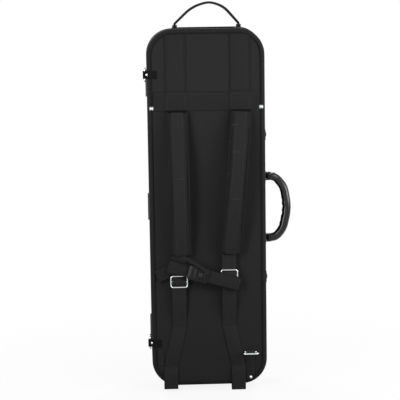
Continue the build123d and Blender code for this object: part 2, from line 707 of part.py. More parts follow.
def top_strap():
    """Strap handle that stands up in an arch, tapered towards its two knuckles."""
    crown = CASE_TOP + TOP_RISE
    shoulder = crown - TOP_SHOULDER_DROP
    bends = [TOP_SPAN * share for share in TOP_BEND_SHARES]
    path = FilletPolyline(
        (-TOP_LEFT, TOP_PIVOT_Z),
        (-TOP_LEFT, TOP_PIVOT_Z + TOP_ROOT_RISE),
        (TOP_SPAN * TOP_SHOULDER_LEFT_SHARE - TOP_LEFT, shoulder),
        (TOP_SPAN * TOP_CROWN_SHARE - TOP_LEFT, crown),
        (TOP_SPAN * TOP_SHOULDER_RIGHT_SHARE - TOP_LEFT, shoulder),
        (TOP_RIGHT, TOP_PIVOT_Z + TOP_ROOT_RISE),
        (TOP_RIGHT, TOP_PIVOT_Z),
        radius=[TOP_ROOT_BEND, *bends, TOP_ROOT_BEND],
    )
    half = TOP_STRAP_WIDTH / 2
    arch = slab(ribbon(path, TOP_STRAP_THICKNESS), TOP_Y - half, TOP_Y + half)
    end_half = TOP_STRAP_END_WIDTH / 2
    taper_low = TOP_PIVOT_Z + TOP_TAPER_START
    taper_high = taper_low + TOP_TAPER_LENGTH
    roof = crown + TOP_STRAP_THICKNESS
    floor = TOP_PIVOT_Z - TOP_KNUCKLE_RADIUS
    right_side = [
        (TOP_Y + end_half, floor),
        (TOP_Y + end_half, taper_low),
        (TOP_Y + half, taper_high),
        (TOP_Y + half, roof),
    ]
    left_side = [(2 * TOP_Y - y, z) for y, z in reversed(right_side)]
    taper = wall(make_face(Polyline(*right_side, *left_side, close=True)), -CASE_WIDTH, CASE_WIDTH)
    strap = arch & taper
    for x in (-TOP_LEFT, TOP_RIGHT):
        start = (x - TOP_KNUCKLE_LENGTH / 2, TOP_Y, TOP_PIVOT_Z)
        strap -= rod((1, 0, 0), start, TOP_KNUCKLE_RADIUS, TOP_KNUCKLE_LENGTH)
        strap += rod((1, 0, 0), start, TOP_KNUCKLE_RADIUS, TOP_KNUCKLE_LENGTH)
        strap -= rod((1, 0, 0), start, TOP_PIN_RADIUS + PIN_CLEARANCE, TOP_KNUCKLE_LENGTH)
    return strap


def top_bracket(x):
    """Small plate on the top end with two ears and the pin of the strap handle."""
    inner = TOP_KNUCKLE_LENGTH / 2 + TOP_EAR_GAP
    outer = inner + TOP_EAR
    length = 2 * (outer + TOP_PLATE_MARGIN)
    outline = Pos(x, TOP_Y) * RectangleRounded(length, TOP_PLATE_DEPTH, TOP_PLATE_MARGIN)
    bracket = column(outline, CASE_TOP - OVERRUN, CASE_TOP + TOP_PLATE)
    radius = TOP_KNUCKLE_RADIUS
    for start in (x - outer, x + inner):
        bracket += brick(start, start + TOP_EAR, TOP_Y - radius, TOP_Y + radius, CASE_TOP, TOP_PIVOT_Z)
        bracket += rod((1, 0, 0), (start, TOP_Y, TOP_PIVOT_Z), radius, TOP_EAR)
    bracket += rod((1, 0, 0), (x - outer, TOP_Y, TOP_PIVOT_Z), TOP_PIN_RADIUS, 2 * outer)
    return bracket - half_block(BACK, 0)


def foot(x, y, side):
    """Tapered rubber foot whose top follows the end of the case."""
    cone = loft([
        Pos(x, y, 0) * Circle(FOOT_BASE_RADIUS),
        Pos(x, y, FOOT_HEIGHT + FOOT_RISE) * Circle(FOOT_TOP_RADIUS),
    ])
    body = cone - half_block(side, 0)
    return body.solids().sort_by(Axis.Z)[0]


def yoke_band():
    """Band across the back that holds the upper ends of the straps."""
    seat = BACK_Y - ANCHOR_THICKNESS
    outline = area(-YOKE_LEFT, YOKE_RIGHT, YOKE_BOTTOM, YOKE_BOTTOM + YOKE_HEIGHT, YOKE_CORNER)
    band = slab(outline, BACK_Y, seat - YOKE_THICKNESS)
    return band - anchors()


def anchors():
    """Flat strap ends that run from the pads up to the piping at the top of the back panel."""
    low = YOKE_BOTTOM - ANCHOR_TAIL
    panel = case_outline(EDGE_RADIUS + PIPING_RADIUS)
    strips = []
    for x in (-ANCHOR_LEFT, ANCHOR_RIGHT):
        outline = area(x - ANCHOR_WIDTH / 2, x + ANCHOR_WIDTH / 2, low, CASE_TOP) & panel
        strips.append(slab(outline, BACK_Y, BACK_Y - ANCHOR_THICKNESS))
    return group(*strips)


def dome_rivet(x, z, seat, radius, height, washer):
    """Domed cap on a thin washer."""
    ball = (radius * radius + height * height) / (2 * height)
    rim = seat - RIVET_WASHER_THICKNESS
    cap = Pos(x, rim + ball - height, z) * Sphere(ball)
    room = slab(Pos(x, z) * Circle(washer), rim, rim - height - OVERRUN)
    return (cap & room) + slab(Pos(x, z) * Circle(washer), seat, rim)


def rivets():
    """Chrome rivets at the ends of the yoke band and on the corner tab."""
    caps = [
        dome_rivet(x, RIVET_Z, BACK_Y, RIVET_RADIUS, RIVET_HEIGHT, RIVET_WASHER)
        for x in (-RIVET_X, RIVET_X)
    ]
    seat = BACK_Y - RING_TAB_THICKNESS
    washer = CORNER_RIVET_RADIUS + FLAT_GAP
    caps.append(dome_rivet(
        CORNER_RIVET_X, CORNER_RIVET_Z, seat, CORNER_RIVET_RADIUS, CORNER_RIVET_HEIGHT, washer,
    ))
    return group(*caps)


def strap_tilt(top_x, bottom_x):
    """Turn that makes a strap lean from its top place to its bottom place."""
    return math.degrees(math.atan2(bottom_x - top_x, YOKE_BOTTOM - STRAP_BOTTOM))


def shoulder_strap(top_x, bottom_x):
    """Padded strap that bows away from the panel between the yoke and its lower end."""
    top = YOKE_BOTTOM - STRAP_TOP_GAP
    inner_y = BACK_Y - ANCHOR_THICKNESS - FLAT_GAP
    belly_y = BACK_Y - STRAP_BELLY_GAP
    end_y = BACK_Y - STRAP_END_GAP
    inner = ThreePointArc((inner_y, top), (belly_y, STRAP_BELLY_Z), (end_y, STRAP_BOTTOM))
    outer = ThreePointArc(
        (inner_y - STRAP_THICKNESS, top),
        (belly_y - STRAP_THICKNESS, STRAP_BELLY_Z),
        (end_y - STRAP_THICKNESS, STRAP_BOTTOM),
    )
    sides = [inner, outer, Line(inner @ 0, outer @ 0), Line(inner @ 1, outer @ 1)]
    profile = make_face([side.edge() for side in sides])
    pad = wall(profile, top_x - STRAP_WIDTH / 2, top_x + STRAP_WIDTH / 2)
    long_edges = pad.edges().filter_by(GeomType.CIRCLE)
    pad = fillet(long_edges, STRAP_EDGE)
    return turned(pad, top_x, top, -strap_tilt(top_x, bottom_x))


def webbing(x, foot_x, clearance):
    """Lower webbing: it hangs from the pad, meets the panel, runs down it and loops under the edge."""
    skin = BACK_Y - FLAT_GAP - WEBBING_THICKNESS / 2
    half = WEBBING_WIDTH / 2
    upper_path = FilletPolyline(
        (BACK_Y - WEBBING_UPPER_GAP, STRAP_BOTTOM - WEBBING_TOP_GAP),
        (BACK_Y - WEBBING_BELT_GAP, WEBBING_BELT_Z),
        (skin, WEBBING_PANEL_Z),
        (skin, WEBBING_SLANT_START),
        radius=[WEBBING_BEND, WEBBING_BEND / 2],
    )
    upper = wall(ribbon(upper_path, WEBBING_THICKNESS), x - half, x + half)
    slant = make_face(Polyline(
        (x - half, WEBBING_SLANT_START),
        (x + half, WEBBING_SLANT_START),
        (foot_x + half, WEBBING_SLANT_END),
        (foot_x - half, WEBBING_SLANT_END),
        close=True,
    ))
    flat = slab(slant, skin + WEBBING_THICKNESS / 2, skin - WEBBING_THICKNESS / 2)
    low = clearance + WEBBING_THICKNESS / 2
    over = skin - piping_rise()
    loop_path = FilletPolyline(
        (skin, WEBBING_SLANT_END),
        (skin, WEBBING_STEP_START),
        (over, WEBBING_STEP_END),
        (over, low),
        (over + LOOP_RUN, low),
        (over + LOOP_RUN, low + LOOP_LEG),
        radius=LOOP_BEND,
    )
    loop = wall(ribbon(loop_path, WEBBING_THICKNESS), foot_x - half, foot_x + half)
    return (upper + flat + loop) - half_block(BACK, 0)


def webbing_gap(z):
    """How far the webbing's middle stands off the panel between the pad and the belt."""
    share = (z - WEBBING_BELT_Z) / (STRAP_BOTTOM - WEBBING_TOP_GAP - WEBBING_BELT_Z)
    return WEBBING_BELT_GAP + share * (WEBBING_UPPER_GAP - WEBBING_BELT_GAP)


def slide_buckle(x, z):
    """Flat wire frame with a middle bar, lying on the webbing."""
    seat = BACK_Y - webbing_gap(z + BUCKLE_HEIGHT / 2) - WEBBING_THICKNESS / 2 - FLAT_GAP
    inner_width, inner_height = BUCKLE_WIDTH - 2 * BUCKLE_BAR, BUCKLE_HEIGHT - 2 * BUCKLE_BAR
    frame = RectangleRounded(BUCKLE_WIDTH, BUCKLE_HEIGHT, BUCKLE_CORNER)
    frame -= RectangleRounded(inner_width, inner_height, BUCKLE_CORNER - BUCKLE_BAR)
    frame += Rectangle(inner_width + BUCKLE_BAR, BUCKLE_BAR)
    body = slab(Pos(x, z) * frame, seat, seat - BUCKLE_THICKNESS)
    face = body.faces().sort_by(Axis.Y)[0]
    return chamfer(face.outer_wire().edges(), BUCKLE_THICKNESS / 4)


def belt_rear(z):
    """Depth of the middle of a belt's run behind a webbing that it crosses at height z."""
    seat = BACK_Y - webbing_gap(z - BELT_SEAT_DROP) + WEBBING_THICKNESS / 2
    return seat + FLAT_GAP + BELT_THICKNESS / 2


def belt_loop(x, z, side, out, inner_end, tilt):
    """Belt end that comes round a webbing: out behind it, a tight turn, and back in front of it."""
    turn_x = x + side * out
    rear = belt_rear(z)
    path = FilletPolyline(
        (x - side * WEBBING_WIDTH / 2, rear),
        (turn_x, rear),
        (turn_x, BACK_Y - BELT_FRONT_GAP),
        (inner_end, BACK_Y - BELT_FRONT_GAP),
        radius=BELT_BEND,
    )
    band = column(ribbon(path, BELT_THICKNESS), z - BELT_WIDTH / 2, z + BELT_WIDTH / 2)
    return turned(band, x, z, tilt)


def belt_left():
    """Left part of the waist belt: from the socket round the left webbing, and its tail behind it."""
    end_x, end_z = clasp_end(-1)
    drop = end_z - BELT_LEFT_Z
    run = end_x + WEBBING_LEFT
    tilt = math.degrees(math.atan2(-drop, run))
    inner_end = -WEBBING_LEFT + math.hypot(drop, run)
    loop = belt_loop(-WEBBING_LEFT, BELT_LEFT_Z, -1, BELT_LEFT_OUT, inner_end, tilt)
    rear = belt_rear(BELT_LEFT_Z)
    low, high = BELT_LEFT_Z - BELT_WIDTH / 2, BELT_LEFT_Z + BELT_WIDTH / 2
    outline = area(-WEBBING_LEFT - BELT_TAIL, -WEBBING_LEFT, low, high)
    tail = slab(outline, rear + BELT_THICKNESS / 2, rear - BELT_THICKNESS / 2)
    return loop + turned(tail, -WEBBING_LEFT, BELT_LEFT_Z, -BELT_LEFT_TILT)


def clasp_end(side):
    """Middle of the clasp's left or right end in X and Z."""
    lean = math.radians(CLASP_TILT)
    reach = side * (CLASP_LENGTH / 2 + BELT_LAYER_GAP)
    return (-CLASP_X + reach * math.cos(lean), CLASP_Z - reach * math.sin(lean))


def belt_right():
    """Right part of the waist belt: from the plug round the right webbing."""
    end_x, end_z = clasp_end(1)
    drop = end_z - BELT_RIGHT_Z
    run = WEBBING_RIGHT - end_x
    tilt = math.degrees(math.atan2(drop, run))
    start_x = WEBBING_RIGHT - math.hypot(drop, run)
    return belt_loop(WEBBING_RIGHT, BELT_RIGHT_Z, 1, BELT_RIGHT_OUT, start_x, tilt)


def clasp_seat():
    """Depths of the clasp's rear and front faces."""
    middle = BACK_Y - BELT_FRONT_GAP
    return (middle + CLASP_THICKNESS / 2, middle - CLASP_THICKNESS / 2)


def prong_outline(gap):
    """Outline of the plug: its head, a middle tongue and two side prongs, grown by a gap."""
    head_length = CLASP_LENGTH * CLASP_PLUG_SHARE
    right = CLASP_LENGTH / 2
    half = CLASP_WIDTH / 2
    head = area(right - head_length - gap, right, -half, half)
    tip = right - head_length - CLASP_NOTCH - gap
    outline = head
    for side in (-1, 1):
        near, far = sorted((side * (half - CLASP_PRONG - gap), side * half))
        outline += area(tip, right - head_length, near, far)
    return outline


def clasp_plug():
    """Plug of the side-release buckle, with ribs on its head."""
    rear, front = clasp_seat()
    wall_depth = CLASP_WALL + CLASP_CLEARANCE
    outline = prong_outline(0) & RectangleRounded(CLASP_LENGTH, CLASP_WIDTH, CLASP_CORNER)
    plug = slab(outline, rear - wall_depth, front + wall_depth)
    head_length = CLASP_LENGTH * CLASP_PLUG_SHARE
    left = CLASP_LENGTH / 2 - head_length
    pitch = head_length / (CLASP_RIBS + 1)
    for index in range(CLASP_RIBS):
        x = left + pitch * (index + 1)
        rib = area(x - CLASP_RIB / 2, x + CLASP_RIB / 2, -CLASP_WIDTH / 3, CLASP_WIDTH / 3)
        plug += slab(rib, front + wall_depth, front)
    return turned(plug.moved(Location((-CLASP_X, 0, CLASP_Z))), -CLASP_X, CLASP_Z, CLASP_TILT)


def clasp_socket():
    """Socket of the side-release buckle, open at the sides where the prongs show."""
    rear, front = clasp_seat()
    body = slab(RectangleRounded(CLASP_LENGTH, CLASP_WIDTH, CLASP_CORNER), rear, front)
    body = chamfer(body.faces().sort_by(Axis.Y)[0].edges(), CLASP_WALL / 2)
    head_start = CLASP_LENGTH / 2 - CLASP_LENGTH * CLASP_PLUG_SHARE - CLASP_CLEARANCE
    head = area(head_start, CLASP_LENGTH, -CLASP_WIDTH, CLASP_WIDTH)
    body -= slab(head, rear, front)
    body -= slab(prong_outline(CLASP_CLEARANCE), rear - CLASP_WALL, front + CLASP_WALL)
    return turned(body.moved(Location((-CLASP_X, 0, CLASP_Z))), -CLASP_X, CLASP_Z, CLASP_TILT)


def ring_centre():
    """Place of the hinge-side rings' bars in X and Y."""
    eye = RING_WIRE + RING_EYE_CLEARANCE + RING_EYE_WALL
    return (-HALF_WIDTH - eye, BACK_Y + RING_DEPTH)


def side_ring(z):
    """Ring that lies along the hinge side, with its bar in the tab."""
    x, y = ring_centre()
    plane = Plane(origin=(x, y + RING_REACH / 2, z), x_dir=(0, 1, 0), z_dir=(1, 0, 0))
    return wire_loop(plane, RING_REACH, RING_LENGTH, RING_CORNER, RING_WIRE)


def ring_tab(z):
    """Tab that comes from the back panel round the edge and holds a ring's bar."""
    x, y = ring_centre()
    eye = RING_WIRE + RING_EYE_CLEARANCE + RING_EYE_WALL
    outer = EDGE_RADIUS + RING_TAB_THICKNESS
    centre = (-HALF_WIDTH + EDGE_RADIUS, BACK_Y + EDGE_RADIUS)
    strip = Pos(*centre) * Circle(outer)
    strip &= Pos(centre[0] - outer, centre[1] - outer) * Rectangle(2 * outer, 2 * outer)
    flat_x = centre[0] + RING_TAB_REACH
    flat_y = BACK_Y - RING_TAB_THICKNESS
    flat = Rectangle(flat_x - centre[0], RING_TAB_THICKNESS)
    strip += Pos((centre[0] + flat_x) / 2, (flat_y + BACK_Y) / 2) * flat
    strip += Pos(x, y) * Circle(eye)
    strip += Pos(x / 2 + centre[0] / 2 - outer / 2, y) * Rectangle(abs(x - centre[0] + outer), eye)
    strip -= Pos(x, y) * Circle(RING_WIRE + RING_EYE_CLEARANCE)
    half = RING_TAB_WIDTH / 2
    tab = column(strip, z - half, z + half) - half_block(BACK, 0)
    return tab - piping(BACK)


def corner_strip():
    """Sewn strip from the lower ring tab down the left corner of the back panel."""
    left = -CORNER_STRIP_X - CORNER_STRIP_WIDTH / 2
    right = -CORNER_STRIP_X + CORNER_STRIP_WIDTH / 2
    outline = area(left, right, CORNER_STRIP_BOTTOM, CORNER_STRIP_TOP)
    inner = case_outline(EDGE_RADIUS + PIPING_RADIUS)
    return slab(outline & inner, BACK_Y, BACK_Y - RING_TAB_THICKNESS)


def corner_eye_y():
    """Depth of the corner ring's bar."""
    return BACK_Y - RING_TAB_THICKNESS - RING_WIRE - RING_EYE_CLEARANCE


def corner_ring():
    """Ring in the lower right corner that stands out from the panel."""
    y = corner_eye_y() - CORNER_RING_REACH / 2
    plane = Plane(origin=(CORNER_RING_X, y, CORNER_RING_Z), x_dir=(1, 0, 0), z_dir=(0, 0, 1))
    return wire_loop(plane, CORNER_RING_WIDTH, CORNER_RING_REACH, RING_CORNER, RING_WIRE)


def corner_tab():
    """Tab sewn down the lower right corner, folded round the ring's bar at its top."""
    y = corner_eye_y()
    eye = RING_WIRE + RING_EYE_CLEARANCE + RING_TAB_THICKNESS
    half = CORNER_TAB_WIDTH / 2
    profile = Pos(y, CORNER_RING_Z) * Circle(eye)
    low, high = CORNER_TAB_BOTTOM, CORNER_RING_Z
    strip = Rectangle(RING_TAB_THICKNESS, high - low)
    profile += Pos(BACK_Y - RING_TAB_THICKNESS / 2, (low + high) / 2) * strip
    profile -= Pos(y, CORNER_RING_Z) * Circle(RING_WIRE + RING_EYE_CLEARANCE)
    tab = wall(profile, CORNER_RING_X - half, CORNER_RING_X + half)
    inner = case_outline(EDGE_RADIUS + PIPING_RADIUS)
    return tab & slab(inner, BACK_Y, BACK_Y - CORNER_RING_REACH)


def violin_outline():
    """Outline of the violin's body with room round it, from five arcs a side."""
    edges = []
    half = LOWER_BOUT / 2
    start = BOTTOM_ARC_SHARES[0]
    side_arcs = (LOWER_ARC_SHARES, WAIST_ARC_SHARES, UPPER_ARC_SHARES, TOP_ARC_SHARES)
    for arc in (BOTTOM_ARC_SHARES[1:], *side_arcs):
        points = [start, *arc]
        for side in (-1, 1):
            placed = [(side * x * half, VIOLIN_BOTTOM + z * VIOLIN_LENGTH) for x, z in points]
            edges.append(ThreePointArc(*placed))
        start = arc[-1]
    return make_face([edge for arc in edges for edge in arc.edges()])


def violin_bed():
    """Foam bed with the recess for the violin's body and the channel for its neck."""
    low_part = area(-CASE_WIDTH, CASE_WIDTH, INNER_BOTTOM, BED_TOP)
    block = slab(case_outline(INSET) & low_part, FLOOR_Y, RECESS_Y)
    recess_floor = FLOOR_Y + BED_FLOOR
    body = slab(violin_outline(), recess_floor, RECESS_Y + OVERRUN)
    neck_low = VIOLIN_BOTTOM + VIOLIN_LENGTH - BED_WALL
    half = NECK_CHANNEL / 2
    channel = brick(-half, half, recess_floor, RECESS_Y + OVERRUN, neck_low, BED_TOP + OVERRUN)
    return block - body - channel


def back_pads():
    """Two round cushions that hold the violin's back off the bed."""
    seat = FLOOR_Y + BED_FLOOR
    pads = []
    for share in (LOWER_PAD_SHARE, UPPER_PAD_SHARE):
        z = VIOLIN_BOTTOM + share * VIOLIN_LENGTH
        disc = slab(Pos(0, z) * Circle(PAD_RADIUS), seat, seat + PAD_HEIGHT)
        pads.append(fillet(disc.faces().sort_by(Axis.Y)[-1].edges(), PAD_DOME))
    return group(*pads)


def tube_place():
    """Middle of the string tube in X and Y."""
    x = NECK_BLOCK_INNER + (INNER_X - NECK_BLOCK_INNER) / 2
    return (x, RECESS_Y - TUBE_SINK + TUBE_RADIUS)


def neck_blocks():
    """Foam blocks on both sides of the neck, the right one with a bay for the string tube."""
    middle = (BED_TOP + NECK_ZONE_TOP) / 2
    left_edge = -INNER_X + COMPARTMENT_WIDTH + FLAT_GAP
    left = brick(left_edge, -NECK_BLOCK_INNER, FLOOR_Y, RECESS_Y, BED_TOP, NECK_ZONE_TOP)
    right = brick(NECK_BLOCK_INNER, INNER_X, FLOOR_Y, RECESS_Y, BED_TOP, NECK_ZONE_TOP)
    left_rim = left.edges().filter_by(Axis.Z).sort_by(Axis.Y)[-2:]
    right_rim = right.edges().filter_by(Axis.Z).sort_by(Axis.Y)[-2:]
    left = fillet(left_rim.sort_by(Axis.X)[-1], NECK_BLOCK_ROUND)
    right = fillet(right_rim.sort_by(Axis.X)[0], NECK_BLOCK_ROUND)
    x, y = tube_place()
    bay = TUBE_RADIUS + TUBE_GROOVE_CLEARANCE
    low = middle - TUBE_LENGTH / 2 - FLAT_GAP
    groove = rod((0, 0, 1), (x, y, low), bay, TUBE_LENGTH + 2 * FLAT_GAP)
    groove += brick(x - bay, x + bay, y, RECESS_Y + OVERRUN, low, low + TUBE_LENGTH + 2 * FLAT_GAP)
    return group(left, right - groove, compartment_support())


def string_tube():
    """Tube for spare strings with its cap on."""
    x, y = tube_place()
    low = (BED_TOP + NECK_ZONE_TOP) / 2 - TUBE_LENGTH / 2
    body_radius = TUBE_RADIUS - TUBE_WALL
    body = rod((0, 0, 1), (x, y, low), body_radius, TUBE_LENGTH - TUBE_WALL)
    body -= rod((0, 0, 1), (x, y, low + TUBE_WALL), body_radius - TUBE_WALL, TUBE_LENGTH - 2 * TUBE_WALL)
    cap_low = low + TUBE_LENGTH - TUBE_CAP
    cap = rod((0, 0, 1), (x, y, cap_low), TUBE_RADIUS, TUBE_CAP)
    cap -= rod((0, 0, 1), (x, y, cap_low), body_radius, TUBE_CAP - TUBE_WALL)
    return group(body, cap)


def side_compartment():
    """Open box beside the neck for rosin and pencils, with the ears of its flap."""
    front = RECESS_Y - FLAP_THICKNESS - FLAT_GAP
    back = front - COMPARTMENT_DEPTH
    outer = brick(-INNER_X, -INNER_X + COMPARTMENT_WIDTH, back, front, BED_TOP, NECK_ZONE_TOP)
    inner = brick(
        -INNER_X + COMPARTMENT_WALL,
        -INNER_X + COMPARTMENT_WIDTH - COMPARTMENT_WALL,
        back + COMPARTMENT_WALL,
        front,
        BED_TOP + COMPARTMENT_WALL,
        NECK_ZONE_TOP - COMPARTMENT_WALL,
    )
    return outer - inner


def compartment_support():
    """Foam under the side compartment."""
    top = RECESS_Y - FLAP_THICKNESS - FLAT_GAP - COMPARTMENT_DEPTH
    return brick(-INNER_X, -INNER_X + COMPARTMENT_WIDTH, FLOOR_Y, top, BED_TOP, NECK_ZONE_TOP)


def divider():
    """Cross wall between the neck zone and the accessory compartment."""
    return brick(-INNER_X, INNER_X, FLOOR_Y, RECESS_Y, NECK_ZONE_TOP, NECK_ZONE_TOP + DIVIDER_THICKNESS)


def flap_pivot():
    """Place of the flap's pivot in X and Y."""
    x = -INNER_X + COMPARTMENT_WIDTH - FLAP_KNUCKLE_RADIUS - FLAP_GAP
    return (x, RECESS_Y - FLAP_THICKNESS / 2 + FLAP_GAP)


def neck_cradle():
    """Block with a round notch that the violin's neck lies in."""
    low, high = CRADLE_Z - CRADLE_HEIGHT / 2, CRADLE_Z + CRADLE_HEIGHT / 2
    block = brick(-NECK_BLOCK_INNER, NECK_BLOCK_INNER, FLOOR_Y, FLOOR_Y + CRADLE_DEPTH, low, high)
    notch = rod((0, 0, 1), (0, FLOOR_Y + CRADLE_DEPTH, low), CRADLE_NOTCH, high - low)
    return block - notch


def neck_strap():
    """Soft strap over the cradle's notch."""
    seat = FLOOR_Y + CRADLE_DEPTH + FLAT_GAP + NECK_STRAP_THICKNESS / 2
    crest = seat + NECK_STRAP_RISE
    foot_x = NECK_BLOCK_INNER - FLAT_GAP
    path = FilletPolyline(
        (-foot_x, seat),
        (-CRADLE_NOTCH - NECK_STRAP_RISE / 2, seat),
        (-CRADLE_NOTCH / 2, crest),
        (CRADLE_NOTCH / 2, crest),
        (CRADLE_NOTCH + NECK_STRAP_RISE / 2, seat),
        (foot_x, seat),
        radius=NECK_STRAP_RISE / 2,
    )
    half = NECK_STRAP_WIDTH / 2
    return column(ribbon(path, NECK_STRAP_THICKNESS), CRADLE_Z - half, CRADLE_Z + half)


def flap_pin():
    """Pin of the compartment's flap, held in the box's two ears."""
    x, y = flap_pivot()
    low = BED_TOP + COMPARTMENT_WALL / 2
    return rod((0, 0, 1), (x, y, low), FLAP_PIN_RADIUS, NECK_ZONE_TOP - BED_TOP - COMPARTMENT_WALL)


def compartment_box():
    """Side compartment with an ear at each end of its flap's knuckle."""
    x, y = flap_pivot()
    radius = FLAP_KNUCKLE_RADIUS
    groove = radius + FLAT_GAP
    length = NECK_ZONE_TOP - BED_TOP
    box = side_compartment() - rod((0, 0, 1), (x, y, BED_TOP), groove, length)
    for start in (BED_TOP, NECK_ZONE_TOP - COMPARTMENT_WALL):
        box += rod((0, 0, 1), (x, y, start), radius, COMPARTMENT_WALL)
        box += brick(x - radius, x + radius, y - 2 * radius, y, start, start + COMPARTMENT_WALL)
    return box + flap_pin()


def compartment_flap():
    """Flap of the side compartment with its long knuckle."""
    x, y = flap_pivot()
    low = BED_TOP + COMPARTMENT_WALL + FLAT_GAP
    high = NECK_ZONE_TOP - COMPARTMENT_WALL - FLAT_GAP
    flap = brick(-INNER_X + FLAT_GAP, x, RECESS_Y - FLAP_THICKNESS, RECESS_Y, low, high)
    flap += rod((0, 0, 1), (x, y, low), FLAP_KNUCKLE_RADIUS, high - low)
    return flap - rod((0, 0, 1), (x, y, low), FLAP_PIN_RADIUS + PIN_CLEARANCE, high - low)


def lid_lining():
    """Plush panel glued inside the lid."""
    return slab(case_outline(INSET), LINING_Y, LID_INNER_Y)


def spinner_bases():
    """Discs on the lining that carry the bow spinners."""
    discs = []
    bore = Circle(SPINNER_POST_RADIUS + PIN_CLEARANCE)
    for x in (-SPINNER_X, SPINNER_X):
        ring = Pos(x, SPINNER_Z) * (Circle(SPINNER_BASE_RADIUS) - bore)
        disc = slab(ring, LINING_Y, LINING_Y - SPINNER_BASE)
        discs.append(disc)
    return group(*discs)


def bow_spinner(x):
    """Turning bar that holds a bow's frog, on its post."""
    knob_y = LINING_Y - SPINNER_BASE - SPINNER_POST
    post = slab(Pos(x, SPINNER_Z) * Circle(SPINNER_POST_RADIUS), LINING_Y - FLAT_GAP, knob_y)
    end_radius = SPINNER_KNOB_WIDTH / 2 - SPINNER_GAP
    bar = RectangleRounded(SPINNER_KNOB_WIDTH, SPINNER_KNOB_LENGTH, end_radius)
    knob = slab(Pos(x, SPINNER_Z) * bar, knob_y, knob_y - SPINNER_KNOB)
    knob = fillet(knob.faces().sort_by(Axis.Y)[0].edges(), SPINNER_KNOB / 4)
    return post + knob


def bow_tip_holders():
    """Padded tunnels on the lining for the bows' tips."""
    holders = []
    for x in (-SPINNER_X, SPINNER_X):
        low, high = BOW_TIP_Z - BOW_TIP_HEIGHT / 2, BOW_TIP_Z + BOW_TIP_HEIGHT / 2
        body = Pos(x, LINING_Y - BOW_TIP_DEPTH / 2) * Rectangle(BOW_TIP_WIDTH, BOW_TIP_DEPTH)
        body = fillet(body.vertices().sort_by(Axis.Y)[:2], BOW_TIP_DEPTH / 3)
        body -= Pos(x, LINING_Y - BOW_SLOT_DEPTH / 2) * Rectangle(BOW_SLOT_WIDTH, BOW_SLOT_DEPTH)
        holders.append(column(body, low, high))
    return group(*holders)


def music_pocket():
    """Flat pocket sewn on the front of the lid."""
    half = POCKET_WIDTH / 2
    outline = area(-half, half, POCKET_BOTTOM, POCKET_BOTTOM + POCKET_HEIGHT, POCKET_CORNER)
    body = slab(outline, LID_Y, LID_Y + POCKET_THICKNESS)
    return fillet(body.faces().sort_by(Axis.Y)[-1].edges(), POCKET_ROUND)


def pocket_zip_z():
    """Height of the pocket's zip."""
    return POCKET_BOTTOM + POCKET_HEIGHT - POCKET_ZIP_DROP


def pocket_zip_reach():
    """Half the length of the pocket's zip."""
    return POCKET_WIDTH / 2 - POCKET_ZIP_MARGIN


def pocket_zip():
    """Tape and teeth of the pocket's zip."""
    z = pocket_zip_z()
    reach = pocket_zip_reach()
    front = LID_Y + POCKET_THICKNESS
    half = POCKET_ZIP_WIDTH / 2
    tape = brick(-reach, reach, front, front + POCKET_ZIP_THICKNESS, z - half, z + half)
    tooth = POCKET_TEETH_WIDTH / 2
    top = front + POCKET_ZIP_THICKNESS
    return tape + brick(-reach, reach, top, top + POCKET_TEETH_HEIGHT, z - tooth, z + tooth)


def pocket_slider():
    """Slider of the pocket's zip with its pull hanging down."""
    z = pocket_zip_z()
    x = POCKET_SLIDER_LENGTH - pocket_zip_reach()
    seat = LID_Y + POCKET_THICKNESS + POCKET_ZIP_THICKNESS + POCKET_TEETH_HEIGHT + FLAT_GAP
    front = seat + POCKET_SLIDER_HEIGHT
    outline = RectangleRounded(POCKET_SLIDER_LENGTH, POCKET_SLIDER_WIDTH, POCKET_SLIDER_WIDTH / 4)
    body = slab(Pos(x, z) * outline, seat, front)
    pull_z = z - POCKET_PULL_LENGTH / 2 + POCKET_SLIDER_WIDTH / 4
    pull = Pos(x, pull_z) * RectangleRounded(PULL_WIDTH, POCKET_PULL_LENGTH, PULL_WIDTH / 3)
    pull -= Pos(x, pull_z - POCKET_PULL_LENGTH / 2 + PULL_HOLE) * Circle(PULL_HOLE / 2)
    return body + slab(pull, front, front + POCKET_PULL_THICKNESS)


pieces = {}

# Back half
back_cord = piping(BACK)
rivet_room = [
    slab(Pos(x, RIVET_Z) * Circle(RIVET_WASHER + FLAT_GAP), BACK_Y, BACK_Y - OVERRUN)
    for x in (-RIVET_X, RIVET_X)
]
corner_seat = BACK_Y - RING_TAB_THICKNESS
corner_spot = Pos(CORNER_RIVET_X, CORNER_RIVET_Z) * Circle(CORNER_RIVET_RADIUS + 2 * FLAT_GAP)
rivet_room.append(slab(corner_spot, corner_seat, corner_seat - OVERRUN))
pieces["back_shell"] = shell(BACK)
pieces["back_cover"] = cover(BACK, back_cord)
pieces["back_piping"] = back_cord - rivet_room
pieces["back_feet"] = group(
    foot(-BACK_FOOT_LEFT, -BACK_FOOT_DEPTH, BACK),
    foot(BACK_FOOT_RIGHT, -BACK_FOOT_DEPTH, BACK),
)
pieces["back_zip_tape"] = zip_tape(BACK)
pieces["back_hinge_leaves"] = hinge_leaves(BACK)
pieces["hinge_pins"] = hinge_pins()

